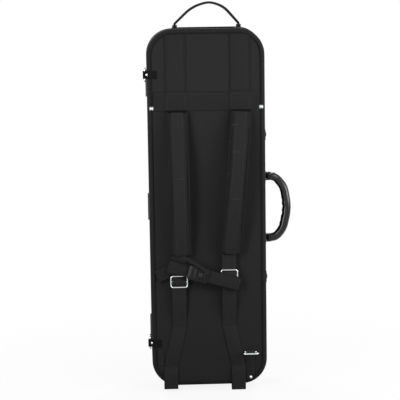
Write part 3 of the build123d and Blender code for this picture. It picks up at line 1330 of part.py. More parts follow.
# Carrying gear on the back
pieces["strap_yoke"] = yoke_band()
pieces["strap_anchors"] = anchors()
pieces["rivets"] = rivets()
pieces["left_shoulder_strap"] = shoulder_strap(-STRAP_LEFT_TOP, -STRAP_LEFT_BOTTOM)
pieces["right_shoulder_strap"] = shoulder_strap(STRAP_RIGHT_TOP, STRAP_RIGHT_BOTTOM)
pieces["left_webbing"] = webbing(-WEBBING_LEFT, -WEBBING_LEFT_FOOT, LOOP_LEFT_CLEARANCE)
pieces["right_webbing"] = webbing(WEBBING_RIGHT, WEBBING_RIGHT_FOOT, LOOP_RIGHT_CLEARANCE)
pieces["left_slide_buckle"] = slide_buckle(-WEBBING_LEFT, BUCKLE_LEFT_Z)
pieces["right_slide_buckle"] = slide_buckle(WEBBING_RIGHT, BUCKLE_RIGHT_Z)
pieces["left_waist_belt"] = belt_left()
pieces["right_waist_belt"] = belt_right()
pieces["belt_socket"] = clasp_socket()
pieces["belt_plug"] = clasp_plug()

# Rings
pieces["ring_tabs"] = group(ring_tab(RING_UPPER_Z), ring_tab(RING_LOWER_Z))
pieces["upper_side_ring"] = side_ring(RING_UPPER_Z)
pieces["lower_side_ring"] = side_ring(RING_LOWER_Z)
pieces["corner_tabs"] = group(corner_strip(), corner_tab())
pieces["corner_ring"] = corner_ring()

# Handles
pieces["carry_handle"] = carry_grip()
pieces["carry_handle_brackets"] = group(*[handle_bracket(root) for root in HANDLE_ROOTS])
pieces["top_handle"] = top_strap()
pieces["top_handle_brackets"] = group(top_bracket(-TOP_LEFT), top_bracket(TOP_RIGHT))

# Zip sliders and latches on the handle side
pieces["lower_zip_slider"] = zip_slider(SLIDER_ZS[0], -1)
pieces["upper_zip_slider"] = zip_slider(SLIDER_ZS[1], 1)
pieces["latch_bases"] = group(*[latch_base(z) for z in LATCH_ZS])
pieces["lower_latch_thumb"] = latch_thumb(LATCH_ZS[0])
pieces["upper_latch_thumb"] = latch_thumb(LATCH_ZS[1])
pieces["latch_strikes"] = group(*[latch_strike(z) for z in LATCH_ZS])
pieces["lower_latch_hasp"] = latch_hasp(LATCH_ZS[0])
pieces["upper_latch_hasp"] = latch_hasp(LATCH_ZS[1])

# Inside the back half
pieces["violin_bed"] = violin_bed()
pieces["back_pads"] = back_pads()
pieces["neck_blocks"] = neck_blocks()
pieces["neck_cradle"] = neck_cradle()
pieces["neck_strap"] = neck_strap()
pieces["string_tube"] = string_tube()
pieces["side_compartment"] = compartment_box()
pieces["compartment_flap"] = compartment_flap()
pieces["accessory_divider"] = divider()

# Lid
lid_cord = piping(FRONT)
pieces["lid_shell"] = shell(FRONT)
pieces["lid_cover"] = cover(FRONT, lid_cord)
pieces["lid_piping"] = lid_cord
pieces["lid_feet"] = group(
    foot(-LID_FOOT_LEFT, LID_FOOT_DEPTH, FRONT),
    foot(LID_FOOT_RIGHT, LID_FOOT_DEPTH, FRONT),
)
pieces["lid_zip_tape"] = zip_tape(FRONT)
pieces["lid_hinge_leaves"] = hinge_leaves(FRONT)
pieces["lid_lining"] = lid_lining()
pieces["spinner_bases"] = spinner_bases()
pieces["left_bow_spinner"] = bow_spinner(-SPINNER_X)
pieces["right_bow_spinner"] = bow_spinner(SPINNER_X)
pieces["bow_tip_holders"] = bow_tip_holders()
pieces["music_pocket"] = music_pocket()
pieces["pocket_zip"] = pocket_zip()
pieces["pocket_zip_slider"] = pocket_slider()

# The origin is under the middle of the whole, on the surface that it stands on
boxes = [shape.bounding_box() for shape in pieces.values()]
middle_x = (min(box.min.X for box in boxes) + max(box.max.X for box in boxes)) / 2
middle_y = (min(box.min.Y for box in boxes) + max(box.max.Y for box in boxes)) / 2
ORIGIN_SHIFT = (-middle_x, -middle_y, 0)

os.makedirs("parts", exist_ok=True)
for node, shape in pieces.items():
    export_step(shape.moved(Location(ORIGIN_SHIFT)), "parts/" + node + ".step")
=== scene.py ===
"""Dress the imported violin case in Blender: its cloth, straps, fittings, lining, light and camera.

Sizes are in millimetres in the case's own frame: x across from the middle of the case (the carry handle at +x), y from
the parting line (the back panel at -y, the lid at +y), z up from the floor. CaseSpace turns them into metres in the
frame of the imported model.
"""

import logging
import math
from collections.abc import Callable, Iterator, Sequence
from contextlib import contextmanager
from dataclasses import dataclass
from enum import Enum

import bmesh
import bpy
import numpy as np
from bpy.types import Material, Node, NodeSocket, NodeTree, Object, World
from mathutils import Matrix, Vector

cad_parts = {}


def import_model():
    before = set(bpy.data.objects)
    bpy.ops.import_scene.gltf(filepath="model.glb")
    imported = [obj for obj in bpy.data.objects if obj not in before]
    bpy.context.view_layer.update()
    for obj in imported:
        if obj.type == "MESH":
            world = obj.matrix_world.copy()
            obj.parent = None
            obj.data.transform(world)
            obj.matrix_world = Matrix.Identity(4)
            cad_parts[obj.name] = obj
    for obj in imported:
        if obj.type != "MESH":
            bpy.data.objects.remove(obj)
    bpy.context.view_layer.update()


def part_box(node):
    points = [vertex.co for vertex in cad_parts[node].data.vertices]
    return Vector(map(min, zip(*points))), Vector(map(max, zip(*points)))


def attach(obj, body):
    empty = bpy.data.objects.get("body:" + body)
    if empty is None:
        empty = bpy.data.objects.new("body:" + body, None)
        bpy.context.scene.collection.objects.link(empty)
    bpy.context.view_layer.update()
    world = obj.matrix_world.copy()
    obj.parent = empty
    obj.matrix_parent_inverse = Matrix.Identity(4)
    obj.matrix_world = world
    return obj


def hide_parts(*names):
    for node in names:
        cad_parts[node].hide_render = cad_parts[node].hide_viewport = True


LOG = logging.getLogger("violin_case")
MM = 0.001
PANEL_Y = -78.0
MERGE = 1e-6
X_AXIS, Y_AXIS, Z_AXIS = Vector((1, 0, 0)), Vector((0, 1, 0)), Vector((0, 0, 1))
Pair = tuple[float, float]
Triple = tuple[float, float, float]


class Half(Enum):
    """The two halves of the case, by the sign of y at their big face."""

    BACK = -1
    LID = 1


class Body(str, Enum):
    """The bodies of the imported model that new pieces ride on."""

    BACK = "back_half"
    LID = "lid"
    CARRY = "carry_handle"
    TOP = "top_handle"
    FLAP = "compartment_flap"


class Slot(str, Enum):
    """The record's material slots."""

    NYLON = "black_nylon"
    PIPING = "piping"
    ZIP = "zip"
    WEBBING = "webbing"
    PAD = "strap_pad"
    LEATHER = "leather_grip"
    PLUSH = "plush"
    CHROME = "chrome"
    PLASTIC = "black_plastic"


# Colours, nodes and finishes


def linear(colour: str) -> Triple:
    """Turn the six hex digits of an sRGB colour into linear red, green and blue."""
    parts = [int(colour[i:i + 2], 16) / 255 for i in (0, 2, 4)]
    return tuple(c / 12.92 if c <= 0.04045 else ((c + 0.055) / 1.055) ** 2.4 for c in parts)


@dataclass(frozen=True)
class Wiring:
    """Adds nodes to one tree; most methods give the socket that the next node takes."""

    tree: NodeTree

    @classmethod
    def blank(cls, owner: Material | World) -> "Wiring":
        """Open the emptied node tree of a material or world.

        Args:
            owner: The material or world.

        Returns:
            Its wiring.
        """
        owner.use_nodes = True
        owner.node_tree.nodes.clear()
        return cls(owner.node_tree)

    def add(self, kind: str, inputs: dict | None = None, **settings: object) -> Node:
        """Add one node with its settings, values and links.

        Args:
            kind: Blender's name of the shader node's type.
            inputs: Values or output sockets, by input name or number.
            **settings: The node's own properties.

        Returns:
            The new node.
        """
        node = self.tree.nodes.new("ShaderNode" + kind)
        for name, value in settings.items():
            setattr(node, name, value)
        self.feed(node, inputs or {})
        return node

    def feed(self, node: Node, inputs: dict) -> None:
        """Set or link a node's inputs.

        Args:
            node: The node.
            inputs: Values or output sockets, by input name or number.
        """
        for key, value in inputs.items():
            if isinstance(value, NodeSocket):
                self.tree.links.new(value, node.inputs[key])
            else:
                node.inputs[key].default_value = value

    def place(self) -> NodeSocket:
        """Give the place on the piece."""
        return self.add("TexCoord").outputs["Object"]

    def calc(self, operation: str, *values: float | NodeSocket) -> NodeSocket:
        """Add a calculation with one or two values."""
        return self.add("Math", dict(enumerate(values)), operation=operation).outputs[0]

    def noise(self, scale: float, detail: float, place: NodeSocket | None = None) -> NodeSocket:
        """Add a soft cloud on the piece."""
        inputs = {"Vector": place or self.place(), "Scale": scale, "Detail": detail}
        return self.add("TexNoise", inputs).outputs["Fac"]

    def span(
        self, value: NodeSocket, low: float = 0.0, high: float = 1.0, start: float = 0.0, end: float = 1.0,
    ) -> NodeSocket:
        """Map a value that runs from start to end onto low to high."""
        limits = {"From Min": start, "From Max": end, "To Min": low, "To Max": high}
        return self.add("MapRange", {"Value": value, **limits}).outputs[0]

    def bump(self, height: NodeSocket, depth: float, strength: float, **under: NodeSocket) -> NodeSocket:
        """Add a bump of a depth in millimetres, over the Normal of another one if it's given."""
        inputs = {"Height": height, "Distance": depth * MM, "Strength": strength, **under}
        return self.add("Bump", inputs).outputs["Normal"]

    def tint(self, colour: str, factor: NodeSocket, low: float, high: float) -> NodeSocket:
        """Darken and lighten a colour between two shares of it."""
        ends = [tuple(min(1.0, c * share) for c in linear(colour)) + (1.0,) for share in (low, high)]
        return self.add("Mix", {0: factor, 6: ends[0], 7: ends[1]}, data_type="RGBA").outputs[2]


@dataclass(frozen=True)
class Finish:
    """A plain finish: name, base colour, how it shines, and the material slot of what wears it."""

    name: str
    colour: str
    roughness: float
    slot: Slot = Slot.WEBBING
    metallic: float = 0.0
    specular: float = 0.5
    sheen: float = 0.0
    sheen_roughness: float = 0.4

    def gloss(self, wires: Wiring, cloud: NodeSocket, low: float, high: float) -> NodeSocket:
        """Vary the roughness between two shares of it."""
        return wires.span(cloud, self.roughness * low, self.roughness * high)

    def detail(self, wires: Wiring) -> dict[str, NodeSocket]:
        """Give the pattern's sockets by shader input; the plain one has a faint unevenness of its gloss."""
        return {"Roughness": self.gloss(wires, wires.noise(scale=60.0, detail=3.0), low=0.8, high=1.25)}

    def material(self) -> Material:
        """Build the material, once for each finish.

        Returns:
            The material.
        """
        found = bpy.data.materials.get(self.name)
        if found:
            return found
        material = bpy.data.materials.new(self.name)
        wires = Wiring.blank(material)
        shader = wires.add("BsdfPrincipled", {
            "Base Color": (*linear(self.colour), 1.0), "Roughness": self.roughness, "Metallic": self.metallic,
            "Specular IOR Level": self.specular, "Sheen Weight": self.sheen,
        })
        if self.sheen:
            shader.inputs["Sheen Roughness"].default_value = self.sheen_roughness
        wires.feed(shader, self.detail(wires))
        wires.add("OutputMaterial", {"Surface": shader.outputs["BSDF"]})
        return material


@dataclass(frozen=True)
class WovenNylon(Finish):
    """Plain-weave nylon: crossing threads, soft waves of the cloth and a dull gloss."""

    specular: float = 0.12
    thread: float = 1.1
    wave_height: float = 3.5
    weave_height: float = 0.12
    weave_peak: float = 1.4

    def detail(self, wires: Wiring) -> dict[str, NodeSocket]:
        """Draw a weave coarse enough to show, over slow waves.

        Args:
            wires: The material's wiring.

        Returns:
            The shader's colour and normal.
        """
        split = wires.add("SeparateXYZ", {0: wires.place()})
        turns = 2 * math.pi / (self.thread * MM)
        waves = [wires.calc("SINE", wires.calc("MULTIPLY", split.outputs[axis], turns)) for axis in "XYZ"]
        weave = wires.calc("MULTIPLY", wires.calc("ADD", waves[0], waves[1]), waves[2])
        level = wires.span(weave, start=-self.weave_peak, end=self.weave_peak)
        blend = wires.calc("MULTIPLY", level, wires.noise(scale=420.0, detail=2.0))
        slow = wires.bump(wires.noise(scale=9.0, detail=3.0), self.wave_height, strength=0.5)
        close = wires.bump(level, self.weave_height, strength=0.6, Normal=slow)
        return {"Base Color": wires.tint(self.colour, blend, low=0.72, high=1.75), "Normal": close}


@dataclass(frozen=True)
class RibbedWebbing(Finish):
    """Woven strap: fine ribs across it and a chevron of threads, read from the piece's own UV map in metres."""

    specular: float = 0.15
    rib: float = 1.5
    rib_height: float = 0.22

    def detail(self, wires: Wiring) -> dict[str, NodeSocket]:
        """Draw ribs that lean one way left of the middle and the other way right of it.

        Args:
            wires: The material's wiring.

        Returns:
            The shader's colour and normal.
        """
        split = wires.add("SeparateXYZ", {0: wires.add("UVMap", uv_map="strap").outputs["UV"]})
        along = wires.calc("ADD", split.outputs["X"], wires.calc("ABSOLUTE", split.outputs["Y"]))
        ribs = wires.calc("SINE", wires.calc("MULTIPLY", along, 2 * math.pi / (self.rib * MM)))
        level = wires.span(ribs, start=-1.0)
        both = wires.calc("MULTIPLY", level, wires.noise(scale=350.0, detail=2.0))
        bump = wires.bump(level, self.rib_height, strength=0.7)
        return {"Base Color": wires.tint(self.colour, both, low=0.7, high=1.8), "Normal": bump}


@dataclass(frozen=True)
class GlazedLeather(Finish):
    """Glossy leather with shallow pores and creases."""

    pore: float = 1.4
    pore_edge: float = 0.25

    def detail(self, wires: Wiring) -> dict[str, NodeSocket]:
        """Drive bump by cells of the size of the grain, and gloss by a soft cloud.

        Args:
            wires: The material's wiring.

        Returns:
            The shader's normal and roughness.
        """
        inputs = {"Vector": wires.place(), "Scale": 1 / (self.pore * MM)}
        cells = wires.add("TexVoronoi", inputs, feature="DISTANCE_TO_EDGE")
        bump = wires.bump(wires.span(cells.outputs["Distance"], end=self.pore_edge), depth=0.05, strength=0.5)
        cloud = wires.noise(scale=35.0, detail=3.0)
        return {"Normal": bump, "Roughness": self.gloss(wires, cloud, low=0.7, high=1.5)}


@dataclass(frozen=True)
class ShortPlush(Finish):
    """Short-pile plush: a velvety sheen, brushed patches and a fine nap."""

    nap: float = 0.9

    def detail(self, wires: Wiring) -> dict[str, NodeSocket]:
        """Drive colour by brushed patches and bump by the nap.

        Args:
            wires: The material's wiring.

        Returns:
            The shader's colour and normal.
        """
        patches = wires.noise(scale=14.0, detail=4.0)
        pile = wires.noise(scale=1 / (self.nap * MM), detail=2.0)
        colour = wires.tint(self.colour, patches, low=0.6, high=1.45)
        return {"Base Color": colour, "Normal": wires.bump(pile, depth=0.4, strength=0.6)}


@dataclass(frozen=True)
class BrushedMetal(Finish):
    """Plated or lacquered metal with fine scratches along z."""

    scratch: float = 0.6
    stretch: float = 0.05

    def detail(self, wires: Wiring) -> dict[str, NodeSocket]:
        """Drive roughness by streaks that are long in z and narrow across it.

        Args:
            wires: The material's wiring.

        Returns:
            The shader's roughness.
        """
        scale = 1 / (self.scratch * MM)
        streaks = wires.add("Mapping", {"Vector": wires.place(), "Scale": (scale, scale, scale * self.stretch)})
        cloud = wires.noise(scale=1.0, detail=2.0, place=streaks.outputs[0])
        return {"Roughness": self.gloss(wires, cloud, low=0.7, high=1.4)}


@dataclass(frozen=True)
class MouldedPlastic(Finish):
    """Moulded plastic with a fine spark-eroded grain."""

    slot: Slot = Slot.PLASTIC
    grain: float = 0.5

    def detail(self, wires: Wiring) -> dict[str, NodeSocket]:
        """Drive bump by the mould's grain."""
        cloud = wires.noise(scale=1 / (self.grain * MM), detail=2.0)
        return {"Normal": wires.bump(cloud, depth=0.04, strength=0.5)}


CASE_CLOTH = WovenNylon("plain_woven_nylon", "272727", 0.85, Slot.NYLON)
POCKET_CLOTH = WovenNylon("pocket_woven_nylon", "242424", 0.85, Slot.NYLON)
PAD_CLOTH = WovenNylon("padded_strap_nylon", "222222", 0.85, Slot.PAD, thread=0.9)
FLAT_STRAP_CLOTH = WovenNylon("flat_strap_nylon", "262626", 0.85, thread=0.9)
YOKE_CLOTH = WovenNylon("yoke_band_nylon", "242424", 0.85, thread=1.3)
BINDING_CLOTH = WovenNylon(
    "binding_tape_nylon", "1d1d1d", 0.8, Slot.PAD, specular=0.1, thread=0.8, wave_height=0.0,
)
PIPING_CLOTH = WovenNylon("piping_cord_cloth", "141414", 0.75, Slot.PIPING, thread=0.8, wave_height=0.0)
ZIP_TAPE_CLOTH = WovenNylon(
    "zip_tape_cloth", "171717", 0.8, Slot.ZIP, specular=0.15, thread=0.8, wave_height=0.0,
)
# Dark webbing of the ring tabs; the same finish is the painted shadow strip under the yoke band's lower edge
TAB_WEB_AND_SHADOW_STRIP = WovenNylon("dark_tab_webbing", "0e0e0e", 0.8, specular=0.1, thread=0.9, wave_height=0.0)
STRAP_WEB = RibbedWebbing("ribbed_nylon_webbing", "242424", 0.8)
BELT_WEB = RibbedWebbing("ribbed_belt_webbing", "202020", 0.75)
STITCHING = Finish("twisted_polyester_thread", "343434", 0.6, specular=0.3)
GRIP_LEATHER = GlazedLeather("glazed_grip_leather", "060606", 0.12, Slot.LEATHER, specular=0.42)
GREY_PLUSH = ShortPlush("short_pile_plush", "3b3c40", 0.95, Slot.PLUSH, specular=0.1, sheen=0.5)
BRIGHT_CHROME = Finish("bright_chrome_plate", "cfd1d4", 0.09, Slot.CHROME, metallic=1.0)
PLATED_STEEL = BrushedMetal("black_nickel_steel", "3c3c3e", 0.35, metallic=1.0)
LACQUERED_STEEL = BrushedMetal("black_lacquered_steel", "0f0f0f", 0.3, specular=0.35)
BLACK_PLASTIC = MouldedPlastic("black_acetal_moulding", "0f0f0f", 0.3, specular=0.2)
POLISHED_PLASTIC = MouldedPlastic("polished_acetal_moulding", "161616", 0.2, specular=0.4)
FOOT_RUBBER = MouldedPlastic("moulded_rubber", "141414", 0.7, specular=0.3, grain=0.8)


# Mesh work


class Bench:
    """The modelling operations that every piece is made with."""

    @staticmethod
    def clear() -> None:
        """Leave edit mode and deselect everything."""
        if bpy.context.object and bpy.context.object.mode != "OBJECT":
            bpy.ops.object.mode_set(mode="OBJECT")
        bpy.ops.object.select_all(action="DESELECT")

    @staticmethod
    def take(*pieces: Object) -> None:
        """Select some pieces alone, the first one active.

        Args:
            *pieces: The pieces.
        """
        Bench.clear()
        for piece in pieces:
            piece.select_set(True)
        bpy.context.view_layer.objects.active = pieces[0]

    @staticmethod
    def settle(piece: Object, place: Matrix | None = None) -> None:
        """Apply a piece's place to its mesh, so that its object stays at the origin.

        Args:
            piece: The piece.
            place: The place to give it first.
        """
        if place:
            piece.matrix_world = place
        Bench.take(piece)
        bpy.ops.object.transform_apply(location=True, rotation=True, scale=True)

    @staticmethod
    @contextmanager
    def editing(piece: Object, everything: str = "") -> Iterator[None]:
        """Open a piece in edit mode and leave it at the end.

        Args:
            piece: The piece.
            everything: VERT, EDGE or FACE to select all of it in that mode, or nothing to select nothing.

        Returns:
            The context.
        """
        Bench.take(piece)
        bpy.ops.object.mode_set(mode="EDIT")
        if everything:
            bpy.ops.mesh.select_mode(type=everything)
        bpy.ops.mesh.select_all(action="SELECT" if everything else "DESELECT")
        yield
        bpy.ops.object.mode_set(mode="OBJECT")

    @staticmethod
    def pick(piece: Object, kind: str, test: Callable[[object], bool]) -> None:
        """Select the vertices, edges or faces of a piece in edit mode that pass a test.

        Args:
            piece: The piece.
            kind: VERT, EDGE or FACE.
            test: Says whether an element is wanted.
        """
        bpy.ops.mesh.select_mode(type=kind)
        bpy.ops.mesh.select_all(action="DESELECT")
        mesh = bmesh.from_edit_mesh(piece.data)
        for element in getattr(mesh, kind.lower() + "s"):
            if test(element):
                element.select_set(True)
        mesh.select_flush_mode()
        bmesh.update_edit_mesh(piece.data)

    @staticmethod
    def add(operator: Callable, scale: Sequence[float] = (1, 1, 1), **settings: object) -> Object:
        """Add a primitive.

        Args:
            operator: The bpy operator that adds it.
            scale: What to scale it by.
            **settings: The operator's settings.

        Returns:
            The piece, with its place in its mesh.
        """
        Bench.clear()
        operator(**settings)
        piece = bpy.context.object
        piece.scale = scale
        Bench.settle(piece)
        return piece

    @staticmethod
    def block(low: Vector, high: Vector) -> Object:
        """Add a box between two corners."""
        return Bench.add(bpy.ops.mesh.primitive_cube_add, high - low, size=1, location=(low + high) / 2)

    @staticmethod
    def disc(centre: Vector, axis: Vector, **settings: float) -> Object:
        """Add a cylinder of so many vertices, a radius and a depth along an axis."""
        turn = Z_AXIS.rotation_difference(axis).to_euler()
        return Bench.add(bpy.ops.mesh.primitive_cylinder_add, location=centre, rotation=turn, **settings)

    @staticmethod
    def section(centre: Vector, width: float, height: float, corner: float, turn: Matrix) -> Object:
        """Add one flat face with rounded corners, as the start of a sweep.

        Args:
            centre: Its middle.
            width: Its size along its first axis, in metres.
            height: Its size along its second axis.
            corner: The radius of its corners.
            turn: The rotation that stands it up from the ground plane.

        Returns:
            The piece.
        """
        piece = Bench.add(bpy.ops.mesh.primitive_plane_add, (width, height, 1), size=1)
        with Bench.editing(piece, "VERT"):
            bpy.ops.mesh.bevel(offset=corner, segments=4, affect="VERTICES")
        Bench.settle(piece, Matrix.Translation(centre) @ turn.to_4x4())
        return piece

    @staticmethod
    def modify(piece: Object, kind: str, **settings: object) -> None:
        """Add a modifier with its settings and apply it.

        Args:
            piece: The piece.
            kind: Blender's name of the modifier type.
            **settings: The modifier's properties.
        """
        Bench.take(piece)
        modifier = piece.modifiers.new(kind.title(), kind)
        for name, value in settings.items():
            setattr(modifier, name, value)
        bpy.ops.object.modifier_apply(modifier=modifier.name)

    @staticmethod
    def soften(piece: Object, width: float, segments: int = 2, angle: float = 0.9) -> None:
        """Bevel the edges sharper than an angle in radians, by a width in millimetres."""
        Bench.modify(piece, "BEVEL", width=width * MM, segments=segments, limit_method="ANGLE", angle_limit=angle)

    @staticmethod
    def smooth(piece: Object, degrees: float) -> None:
        """Shade a piece smooth except over sharp edges."""
        Bench.take(piece)
        bpy.ops.object.shade_smooth_by_angle(angle=math.radians(degrees))

    @staticmethod
    def turn(piece: Object, degrees: float, centre: Vector) -> None:
        """Turn a mesh about y by the right-hand rule.

        Args:
            piece: The piece.
            degrees: The angle.
            centre: The point that it turns about.
        """
        with Bench.editing(piece, "VERT"):
            # Without a window the operator turns the other way
            bpy.ops.transform.rotate(
                value=-math.radians(degrees), orient_axis="Y", orient_type="GLOBAL", center_override=centre,
            )

    @staticmethod
    def join(pieces: Sequence[Object]) -> Object:
        """Join several pieces into one.

        Args:
            pieces: The pieces.

        Returns:
            The joined piece.
        """
        Bench.take(*pieces)
        bpy.ops.object.join()
        return bpy.context.object

    @staticmethod
    def outward(piece: Object, merge: float = MERGE) -> None:
        """Merge doubles and point all faces outwards.

        Args:
            piece: The piece.
            merge: How near doubles are.
        """
        with Bench.editing(piece, "VERT"):
            bpy.ops.mesh.remove_doubles(threshold=merge)
            bpy.ops.mesh.normals_make_consistent(inside=False)

    @staticmethod
    def points(piece: Object) -> np.ndarray:
        """Read a piece's vertices.

        Args:
            piece: The piece, or its evaluated copy.

        Returns:
            One row for each vertex.
        """
        places = np.zeros(len(piece.data.vertices) * 3)
        piece.data.vertices.foreach_get("co", places)
        return places.reshape(-1, 3)

    @staticmethod
    def paint(piece: Object, finish: Finish) -> None:
        """Give a piece one material."""
        piece.data.materials.clear()
        piece.data.materials.append(finish.material())

    @staticmethod
    def dress(
        name: str, made: Object | Sequence[Object], finish: Finish, replaces: Sequence[str] = (),
        body: Body = Body.BACK, slot: Slot | None = None,
    ) -> Object:
        """Name a piece and give it its finish and its place in the frame.

        Args:
            name: The piece's name.
            made: The piece, or several that are joined into it.
            finish: Its finish.
            replaces: The CAD nodes that it stands for.
            body: The CAD body that it rides on.
            slot: The record's material slot, where it isn't the finish's own; not used.

        Returns:
            The piece.
        """
        piece = made if isinstance(made, Object) else Bench.join(made)
        piece.name = piece.data.name = name
        Bench.paint(piece, finish)
        slot = slot or finish.slot
        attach(piece, body.value)
        if replaces:
            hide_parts(*replaces)
        LOG.info("%s", name)
        return piece


@dataclass
class Route:
    """A path in one plane of straight runs with rounded corners, in metres, which sections are drawn along."""

    points: list[Vector]
    radii: Sequence[float] = ()
    arc_step: float = 5 * MM

    def steps(self) -> list[tuple[Vector, tuple[Vector, Vector, float] | None]]:
        """Split the path into straight runs and arcs.

        Returns:
            The end of each step and, for an arc, its centre, axis and angle.
        """
        out = []
        for index, radius in enumerate(self.radii):
            before, corner, after = self.points[index:index + 3]
            come, leave = (corner - before).normalized(), (after - corner).normalized()
            angle = come.angle(leave)
            if angle < 1e-4 or radius <= 0:
                out.append((corner, None))
                continue
            reach = radius * math.tan(angle / 2)
            start, end = corner - come * reach, corner + leave * reach
            axis = come.cross(leave).normalized()
            out.append((start, None))
            out.append((end, (start + axis.cross(come) * radius, axis, angle)))
        return [*out, (self.points[-1], None)]

    def line(self, spacing: float = 4 * MM) -> np.ndarray:
        """Sample the path.

        Args:
            spacing: The distance between samples on arcs.

        Returns:
            One row for each sample.
        """
        here = self.points[0]
        samples = [here]
        for end, arc in self.steps():
            if arc:
                centre, axis, angle = arc
                arm = here - centre
                count = max(3, int(angle * arm.length / spacing))
                turns = [Matrix.Rotation(angle * index / count, 3, axis) for index in range(1, count + 1)]
                samples += [centre + turn @ arm for turn in turns]
            else:
                samples.append(end)
            here = end
        return np.array([tuple(p) for p in samples])

    @staticmethod
    def lengths(line: np.ndarray) -> np.ndarray:
        """Give the distance along a sampled path at each sample."""
        return np.concatenate([[0], np.cumsum(np.linalg.norm(np.diff(line, axis=0), axis=1))])

    def follow(self) -> None:
        """Carry the selected section of the piece in edit mode along the route: extruded, and spun on arcs."""
        here = self.points[0].copy()
        for end, arc in self.steps():
            if arc:
                centre, axis, angle = arc
                count = max(3, int(angle * (here - centre).length / self.arc_step))
                # Spin turns against the right-hand rule
                bpy.ops.mesh.spin(steps=count, angle=-angle, center=centre, axis=axis)
            elif (end - here).length > 1e-7:
                bpy.ops.mesh.extrude_region_move(TRANSFORM_OT_translate={"value": end - here})
            else:
                continue
            here = end

    def ribbon(self, across: Vector, width: float, thickness: float) -> Object:
        """Make a flat strap along the route.

        Args:
            across: The direction of the strap's width.
            width: Its width in millimetres.
            thickness: Its thickness in millimetres.

        Returns:
            The strap, with a UV map in metres.
        """
        piece = Bench.add(bpy.ops.mesh.primitive_plane_add, size=1)
        with Bench.editing(piece):
            Bench.pick(piece, "VERT", lambda v: v.co.y > 0)
            bpy.ops.mesh.delete(type="VERT")
            bpy.ops.mesh.select_all(action="SELECT")
            bpy.ops.transform.translate(value=(0, 0.5, 0))
            bpy.ops.transform.resize(value=(width * MM, 1, 1), center_override=(0, 0, 0))
        turn = X_AXIS.rotation_difference(across).to_matrix().to_4x4()
        Bench.settle(piece, Matrix.Translation(self.points[0]) @ turn)
        with Bench.editing(piece, "EDGE"):
            self.follow()
            bpy.ops.mesh.select_all(action="SELECT")
            bpy.ops.mesh.remove_doubles(threshold=MERGE)
        Bench.modify(piece, "SOLIDIFY", thickness=thickness * MM, offset=0.0, use_even_offset=True)
        Bench.soften(piece, thickness * 0.25, angle=1.0)
        self.map_strap(piece, across)
        Bench.smooth(piece, 50)
        return piece

    def map_strap(self, piece: Object, across: Vector) -> None:
        """Write the UV map called strap: u runs along the route and v across it, both in metres.

        Args:
            piece: The piece.
            across: The direction of its width.
        """
        line = self.line()
        lengths = self.lengths(line)
        places = Bench.points(piece)
        side = (places - line[0]) @ np.array(across)
        flat = places - np.outer(side, np.array(across))
        along = np.zeros(len(places))
        best = np.full(len(places), np.inf)
        for start, end, length in zip(line, line[1:], lengths):
            run = end - start
            share = np.clip((flat - start) @ run / max(run @ run, 1e-12), 0, 1)
            gap = np.linalg.norm(flat - start - share[:, None] * run, axis=1)
            nearer = gap < best
            best[nearer] = gap[nearer]
            along[nearer] = (length + share * np.linalg.norm(run))[nearer]
        layer = piece.data.uv_layers.get("strap") or piece.data.uv_layers.new(name="strap")
        corners = np.zeros(len(piece.data.loops), dtype=np.int32)
        piece.data.loops.foreach_get("vertex_index", corners)
        values = np.stack([along[corners], side[corners]], axis=1).astype(np.float32)
        layer.data.foreach_set("uv", values.ravel())


@dataclass(frozen=True)
class CaseSpace:
    """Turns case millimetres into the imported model's metres."""

    origin: Vector

    @classmethod
    def from_frame(cls) -> "CaseSpace":
        """Find the case's frame from the back cover's box."""
        low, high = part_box("back_cover")
        return cls(Vector(((low.x + high.x) / 2, low.y - PANEL_Y * MM, 0)))

    def at(self, x: float, y: float, z: float) -> Vector:
        """Give the place of a point in metres."""
        return self.origin + Vector((x, y, z)) * MM

    def route(self, path: Sequence[Triple], radii: Sequence[float] = (), arc_step: float = 5.0) -> Route:
        """Lay a route through points, with the radii of the corners between them."""
        return Route([self.at(*point) for point in path], [radius * MM for radius in radii], arc_step * MM)


def wire_loop(low: Vector, high: Vector, corner: float, radius: float) -> Object:
    """Bend a round cord or wire into a closed rectangle with round corners, square to y.

    Args:
        low: The lowest corner of the loop's outer box.
        high: Its highest corner.
        corner: The radius of its corners.
        radius: The cord's own radius.

    Returns:
        The loop.
    """
    left, right, bottom, top = low.x + radius, high.x - radius, low.z + radius, high.z - radius
    middle, y = (left + right) / 2, (low.y + high.y) / 2
    corners = [(middle, bottom), (right, bottom), (right, top), (left, top), (left, bottom), (middle, bottom)]
    points = [Vector((x, y, z)) for x, z in corners]
    piece = Bench.add(
        bpy.ops.mesh.primitive_circle_add, vertices=12, radius=radius, location=points[0],
        rotation=(0, math.pi / 2, 0),
    )
    with Bench.editing(piece, "EDGE"):
        Route(points, [corner] * 4).follow()
    Bench.outward(piece, 10 * MERGE)
    Bench.smooth(piece, 60)
    return piece


